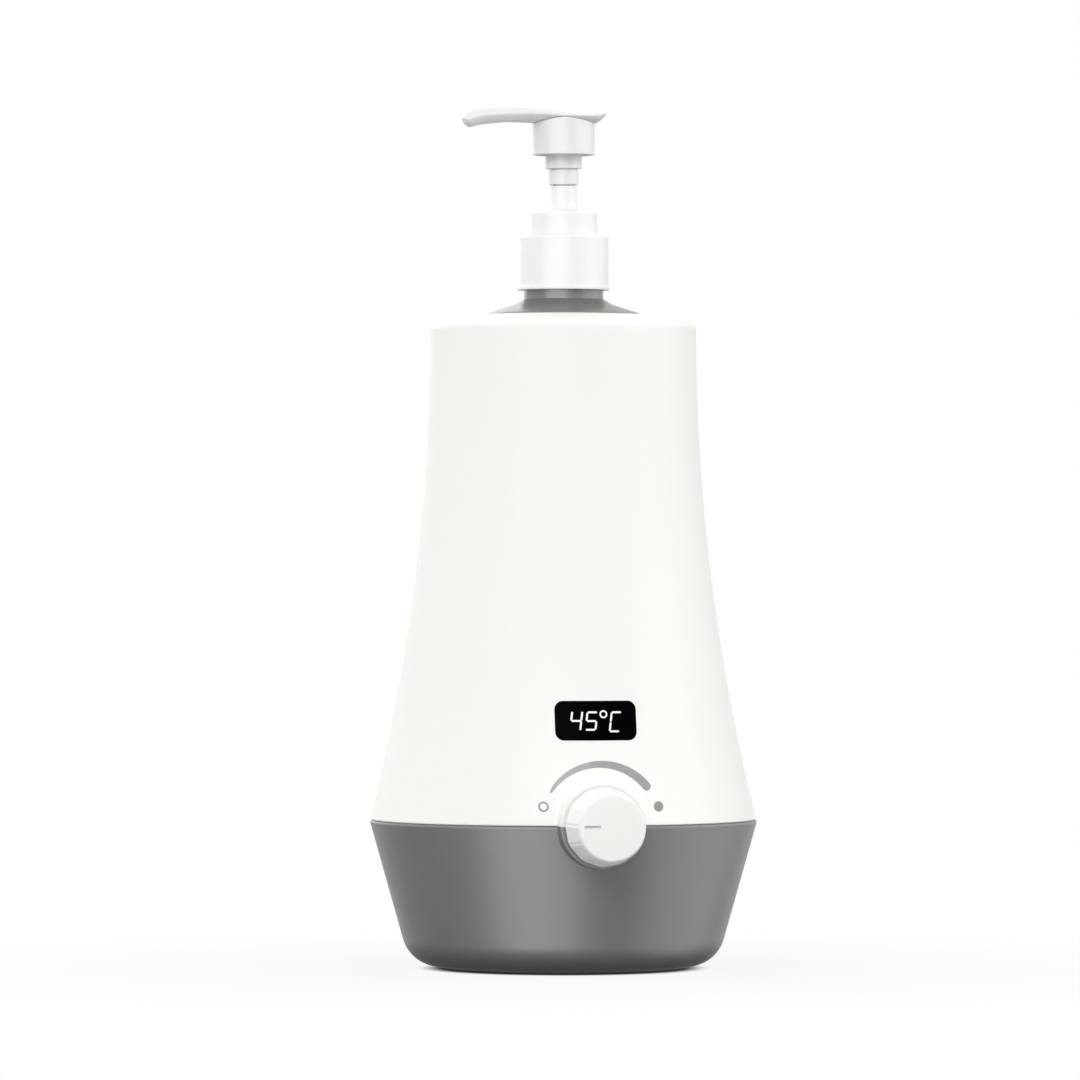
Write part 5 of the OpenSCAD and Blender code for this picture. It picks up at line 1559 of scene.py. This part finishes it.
print("stations from", stations[0][0].round(1), "to", stations[-1][0].round(1))


# %% Plate of the head
SPOUT_SIDES, SPOUT_SMOOTH = 64, 8
TIP_LEAN, TIP_LENGTH = math.tan(math.radians(27)), 9.0
CROWN_POWER, HULL_POWER = 1.6, 1.15


def through(points, steps):
    """A smooth curve through a list of stations."""
    last = len(points) - 1
    curve = []
    for i in range(last):
        p0, p1, p2, p3 = points[max(i - 1, 0)], points[i], points[i + 1], points[min(i + 2, last)]
        for t in np.arange(steps) / steps:
            square = (2 * p0 - 5 * p1 + 4 * p2 - p3) * t ** 2
            cube = (3 * p1 - p0 - 3 * p2 + p3) * t ** 3
            curve.append(p1 + ((p2 - p0) * t + square + cube) / 2)
    return curve + [points[last]]


def plate_ring(station):
    """Points round the plate at one station: a crown above the edge, a hull below it, leaning at the tip."""
    x, edge, top, bottom, half = station
    lean = TIP_LEAN * max(0.0, 1 - (x + spout_reach) / TIP_LENGTH)
    points = []
    for a in np.arange(SPOUT_SIDES) * math.tau / SPOUT_SIDES:
        c, s = math.cos(a), math.sin(a)
        height = (top - edge) * s ** CROWN_POWER if s > 0 else (bottom - edge) * (-s) ** HULL_POWER
        down = SPOUT_RISE * (top - edge - height)
        points.append(((x + lean * down) * MM, HEAD_R * half * c * MM,
                       (head_top_z + SPOUT_RISE * (edge + height)) * MM))
    return points


mesh = bmesh.new()
loft(mesh, [[mesh.verts.new(p) for p in plate_ring(s)] for s in through(stations, SPOUT_SMOOTH)])
bmesh.ops.recalc_face_normals(mesh, faces=mesh.faces)
head = from_bmesh("head", mesh, head_white_painted_shade)
print("plate:", len(head.data.polygons), "faces")

# %% [markdown]
# Under the plate the head is turned: a guide round the stem, a stop with a fine relief under it, and a
# hollow skirt. The plate itself, moved down a little, cuts the groove that runs round the top of the skirt,
# and a core keeps the two joined. The channel is bored last, out through the tip.

# %% Pump head
HEAD_SKIRT_T, HEAD_CROWN_T, HEAD_LAP = 1.3, 3.0, 2.0
GUIDE_LOW_R, GUIDE_TOP_R, STOP_R = 5.1, 5.4, 6.5
HEAD_BORE_GAP, STEM_FIT, RELIEF = 0.2, 0.05, 0.45
JOINT_GAP, JOINT_DEPTH = 0.45, 0.7
CHANNEL_R, CHANNEL_UP, CHANNEL_DROP = 0.9, 0.3, math.radians(2.6)
CHANNEL_STEPS = 48
HEAD_SHARP = math.radians(42)
bore_r, bore_top = stem_r + STEM_FIT, stem_high.z + HEAD_BORE_GAP
skirt_in = HEAD_R - HEAD_SKIRT_T
crown_z, lap_z = head_top_z - HEAD_CROWN_T, head_top_z + HEAD_LAP
joint_cut = link_object("joint_cut", head.data.copy())
moved(joint_cut, Matrix.Translation((0, 0, -JOINT_GAP * MM)))
cylinder = turned("cylinder", [
    (bore_r, head_low.z), (GUIDE_LOW_R, head_low.z, 0.12), (GUIDE_TOP_R, stop_z - RELIEF),
    (GUIDE_TOP_R - RELIEF, stop_z - RELIEF), (GUIDE_TOP_R - RELIEF, stop_z), (STOP_R, stop_z, 0.25),
    (STOP_R, crown_z), (skirt_in, crown_z), (skirt_in, skirt_z, 0.2), (HEAD_R, skirt_z, 0.35),
    (HEAD_R, lap_z), (0, lap_z), (0, bore_top), (bore_r, bore_top),
], head_white_painted_shade)
core = rod("core", HEAD_R - JOINT_DEPTH, skirt_z + HEAD_H / 2, lap_z, head_white_painted_shade)
carve(cylinder, ("DIFFERENCE", joint_cut), ("UNION", core))
channel = rod("channel", CHANNEL_R, 0, spout_reach + CUT_PAST, head_white_painted_shade, CHANNEL_STEPS)
channel_z = head_top_z + SPOUT_RISE * CHANNEL_UP
along_spout = Matrix.Rotation(-math.pi / 2 - CHANNEL_DROP, 4, "Y")
moved(channel, Matrix.Translation((0, 0, channel_z * MM)) @ along_spout)
carve(head, ("UNION", cylinder), ("DIFFERENCE", channel))
dress(smooth(close_up(head), HEAD_SHARP), "head", "pump_white", "pump_head")

# %% [markdown]
# Underneath is the rubber foot ring, which sits in the bowl's groove and keeps the warmer from sliding. It is
# turned, with rounded edges where it meets the table.

# %% Foot ring
FOOT_EDGE_R = 0.7
foot = turned("foot", [
    (foot_in + FOOT_CLEAR, 0, FOOT_EDGE_R), (foot_high.x, 0, FOOT_EDGE_R), (foot_high.x, foot_high.z),
    (foot_in + FOOT_CLEAR, foot_high.z),
], foot_rubber)
dress(smooth(foot), "housing", "foot_rubber", "foot_ring")

# %% [markdown]
# At the back is the mains inlet, a flanged socket in the bowl's shallow pocket. It could have each edge
# rounded in its outlines, but it is cut from rounded bars and then bevelled as a whole, because all of its
# edges are alike. The pins in the socket keep their CAD shape.

# %% Mains inlet
FLANGE_R = 2.0
INLET_W, INLET_H, INLET_R, INLET_EDGE = 19.0, 11.0, 0.8, 0.25
SOCKET_W, SOCKET_H, SOCKET_DEPTH = 16.6, 8.4, 11.0
SOCKET_R = SOCKET_H / 2 - 0.01
PIN_HOLE_R, PIN_PITCH, PIN_HOLE_STEPS = 1.25, 8.6, 32
inlet = prism("inlet", inlet_high.x - inlet_low.x, inlet_high.z - inlet_low.z, FLANGE_R,
              pocket_y, inlet_high.y, inlet_z, black_plastic)
inlet_body = prism("inlet_body", INLET_W, INLET_H, INLET_R, inlet_low.y, pocket_y + INLET_FLANGE_T / 2,
                   inlet_z, black_plastic)
socket_room = prism("socket_room", SOCKET_W, SOCKET_H, SOCKET_R, inlet_high.y - SOCKET_DEPTH,
                    inlet_high.y + CUT_PAST, inlet_z, black_plastic)
to_back = Matrix.Rotation(math.radians(-90), 4, "X")
cuts = [("UNION", inlet_body), ("DIFFERENCE", socket_room)]
for side in (-1, 1):
    hole = rod("pin_hole", PIN_HOLE_R, 0, pocket_y, black_plastic, PIN_HOLE_STEPS)
    hole_place = Matrix.Translation((side * PIN_PITCH / 2 * MM, 0, inlet_z * MM))
    cuts.append(("DIFFERENCE", moved(hole, hole_place @ to_back)))
carve(inlet, *cuts)
soften(close_up(inlet), INLET_EDGE, 3)
dress(smooth(settle(inlet)), "housing", "black_plastic", "mains_inlet")

# %% [markdown]
# Twelve screws of two sizes hold the housing, the clamp ring and the power board. One pan-head screw with a
# cross recess and a pointed tip is modelled for each set, and a tree sets a copy of it on each place. Array
# modifiers could do it too, but a tree takes any list of places.

# %% A tree that sets copies on places
setting, given, gives = new_shape_tree(
    "set_on_places", [("Piece", "Object"), ("Tilt", "Float"), ("Finish", "Material")])
piece = add_node(setting, "GeometryNodeObjectInfo")
setting.links.new(given["Piece"], piece.inputs["Object"])
tilt = add_node(setting, "ShaderNodeCombineXYZ")
feed(setting, tilt.inputs["X"], given["Tilt"])
copies = add_node(setting, "GeometryNodeInstanceOnPoints")
setting.links.new(given["Geometry"], copies.inputs["Points"])
setting.links.new(piece.outputs["Geometry"], copies.inputs["Instance"])
setting.links.new(tilt.outputs[0], copies.inputs["Rotation"])
end_in_material(setting, copies.outputs["Instances"], given, gives)

# %% Screws
# Each set: its node, the radius of shank and head, the height of the head, and whether it points down.
SCREWS = (
    ("housing_screws", 1.5, 2.8, 2.2, False),
    ("clamp_screws", 1.3, 2.4, 1.8, False),
    ("board_screws", 1.3, 2.4, 1.8, True),
)
DOME_SHARE, CROWN_SHARE, DOME_OUT = 0.45, 0.55, 0.92
POINT_SHARE = 1.4
ARM_SHARE, ARM_HALF_W, RECESS_SHARE = 0.62, 0.4, 0.5
SCREW_STEPS = 40


def screw(shank_r, head_r, head_h, length):
    """A pan-head screw that points up, with its head below zero."""
    dome = head_h * DOME_SHARE
    made = turned("pattern", [
        (0, -head_h), (head_r * CROWN_SHARE, -head_h, 0.2), (head_r * DOME_OUT, -head_h + dome / 2, 0.5),
        (head_r, -head_h + dome), (head_r, 0, 0.15), (shank_r, 0), (shank_r, length - shank_r * POINT_SHARE),
        (0, length),
    ], fastener_steel, SCREW_STEPS)
    arm, low, high = head_r * ARM_SHARE, -head_h - CUT_PAST, -head_h * RECESS_SHARE
    recess = block("recess", (-arm, -ARM_HALF_W, low), (arm, ARM_HALF_W, high))
    cross = block("cross", (-ARM_HALF_W, -arm, low), (ARM_HALF_W, arm, high))
    return carve(made, ("DIFFERENCE", recess), ("DIFFERENCE", cross))


for node, shank_r, head_r, head_h, points_down in SCREWS:
    low, high = box_mm(node)
    pattern = screw(shank_r, head_r, head_h, high.z - low.z - head_h)
    level = high.z - head_h if points_down else low.z + head_h
    x, y = high.x - head_r, high.y - head_r
    places = bpy.data.meshes.new(node + "_set")
    places.from_pydata([(i * x * MM, j * y * MM, level * MM) for i in (-1, 1) for j in (-1, 1)], [], [])
    screws = link_object(node + "_set", places)
    shape_by(screws, setting, Piece=pattern, Tilt=math.pi if points_down else 0.0, Finish=fastener_steel)
    bpy.data.objects.remove(pattern)
    dress(smooth(screws), "housing", "fastener_steel", node)

# %% [markdown]
# The return spring sits in the pump's cylinder and pushes the plunger up. It is wound by the same tree as
# the threads, from a round wire. When the head is pressed, the piston comes down on it; here it is wound at
# the length of its CAD node.

# %% Return spring
WIRE_R, WIRE_SIDES = 0.5, 12
SPRING_TURNS, SPRING_STEPS, SPRING_TAPER = 8, 384, 0.002
spring_low, spring_high = box_mm("return_spring")
spring_l = spring_high.z - spring_low.z
spring_pitch = (spring_l - 2 * WIRE_R) / SPRING_TURNS
wire = [(WIRE_R * math.cos(a), WIRE_R * math.sin(a)) for a in np.linspace(0, math.tau, WIRE_SIDES + 1)]
spring = wind("spring", wire, spring_high.x - WIRE_R, spring_pitch, SPRING_TURNS, spring_low.z + WIRE_R,
              SPRING_STEPS, SPRING_TAPER, fastener_steel)
dress(smooth(close_up(spring)), "pump_body", "fastener_steel", "return_spring")
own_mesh(spring)

# %% [markdown]
# The other pieces inside keep their CAD shape: the cup, the heater, the boards and their parts, and the
# inside of the pump. Each still gets a finish of its own. The cup shows when the bottle is lifted out, and
# the inside of the pump when the part is taken apart.

# %% Finishes of the inner pieces
INNER = {
    "heating_cup": cup_aluminium, "well_gasket": seal_rubber, "clamp_ring": fastener_steel,
    "heater_band": heater_silicone, "thermal_cutout": black_plastic, "temperature_sensor": black_plastic,
    "cutout_nuts": fastener_steel, "display_module": black_plastic, "front_board": board_green,
    "potentiometer": component_blue, "pot_shaft": fastener_steel, "power_board": board_green,
    "transformer": component_yellow, "filter_capacitor": component_blue, "heater_relay": component_blue,
    "terminal_block": terminal_green, "inlet_pins": pin_brass, "mains_leads": lead_brown,
    "heater_leads": lead_cream, "sensor_lead": black_plastic, "signal_ribbon": seal_rubber,
    "pump_cylinder": natural_plastic, "neck_gasket": seal_rubber, "dip_tube": natural_plastic,
    "inlet_ball": fastener_steel, "piston": natural_plastic,
}
for name, finish in INNER.items():
    mesh = nodes[name].data
    mesh.materials.clear()
    mesh.materials.append(finish)
print("inner pieces:", len(INNER))

# %% [markdown]
# The picture is rendered without a colour look, so a white surface that is lit evenly stays white.

# %% Picture
scene.view_settings.view_transform = "Standard"
scene.view_settings.look = "None"
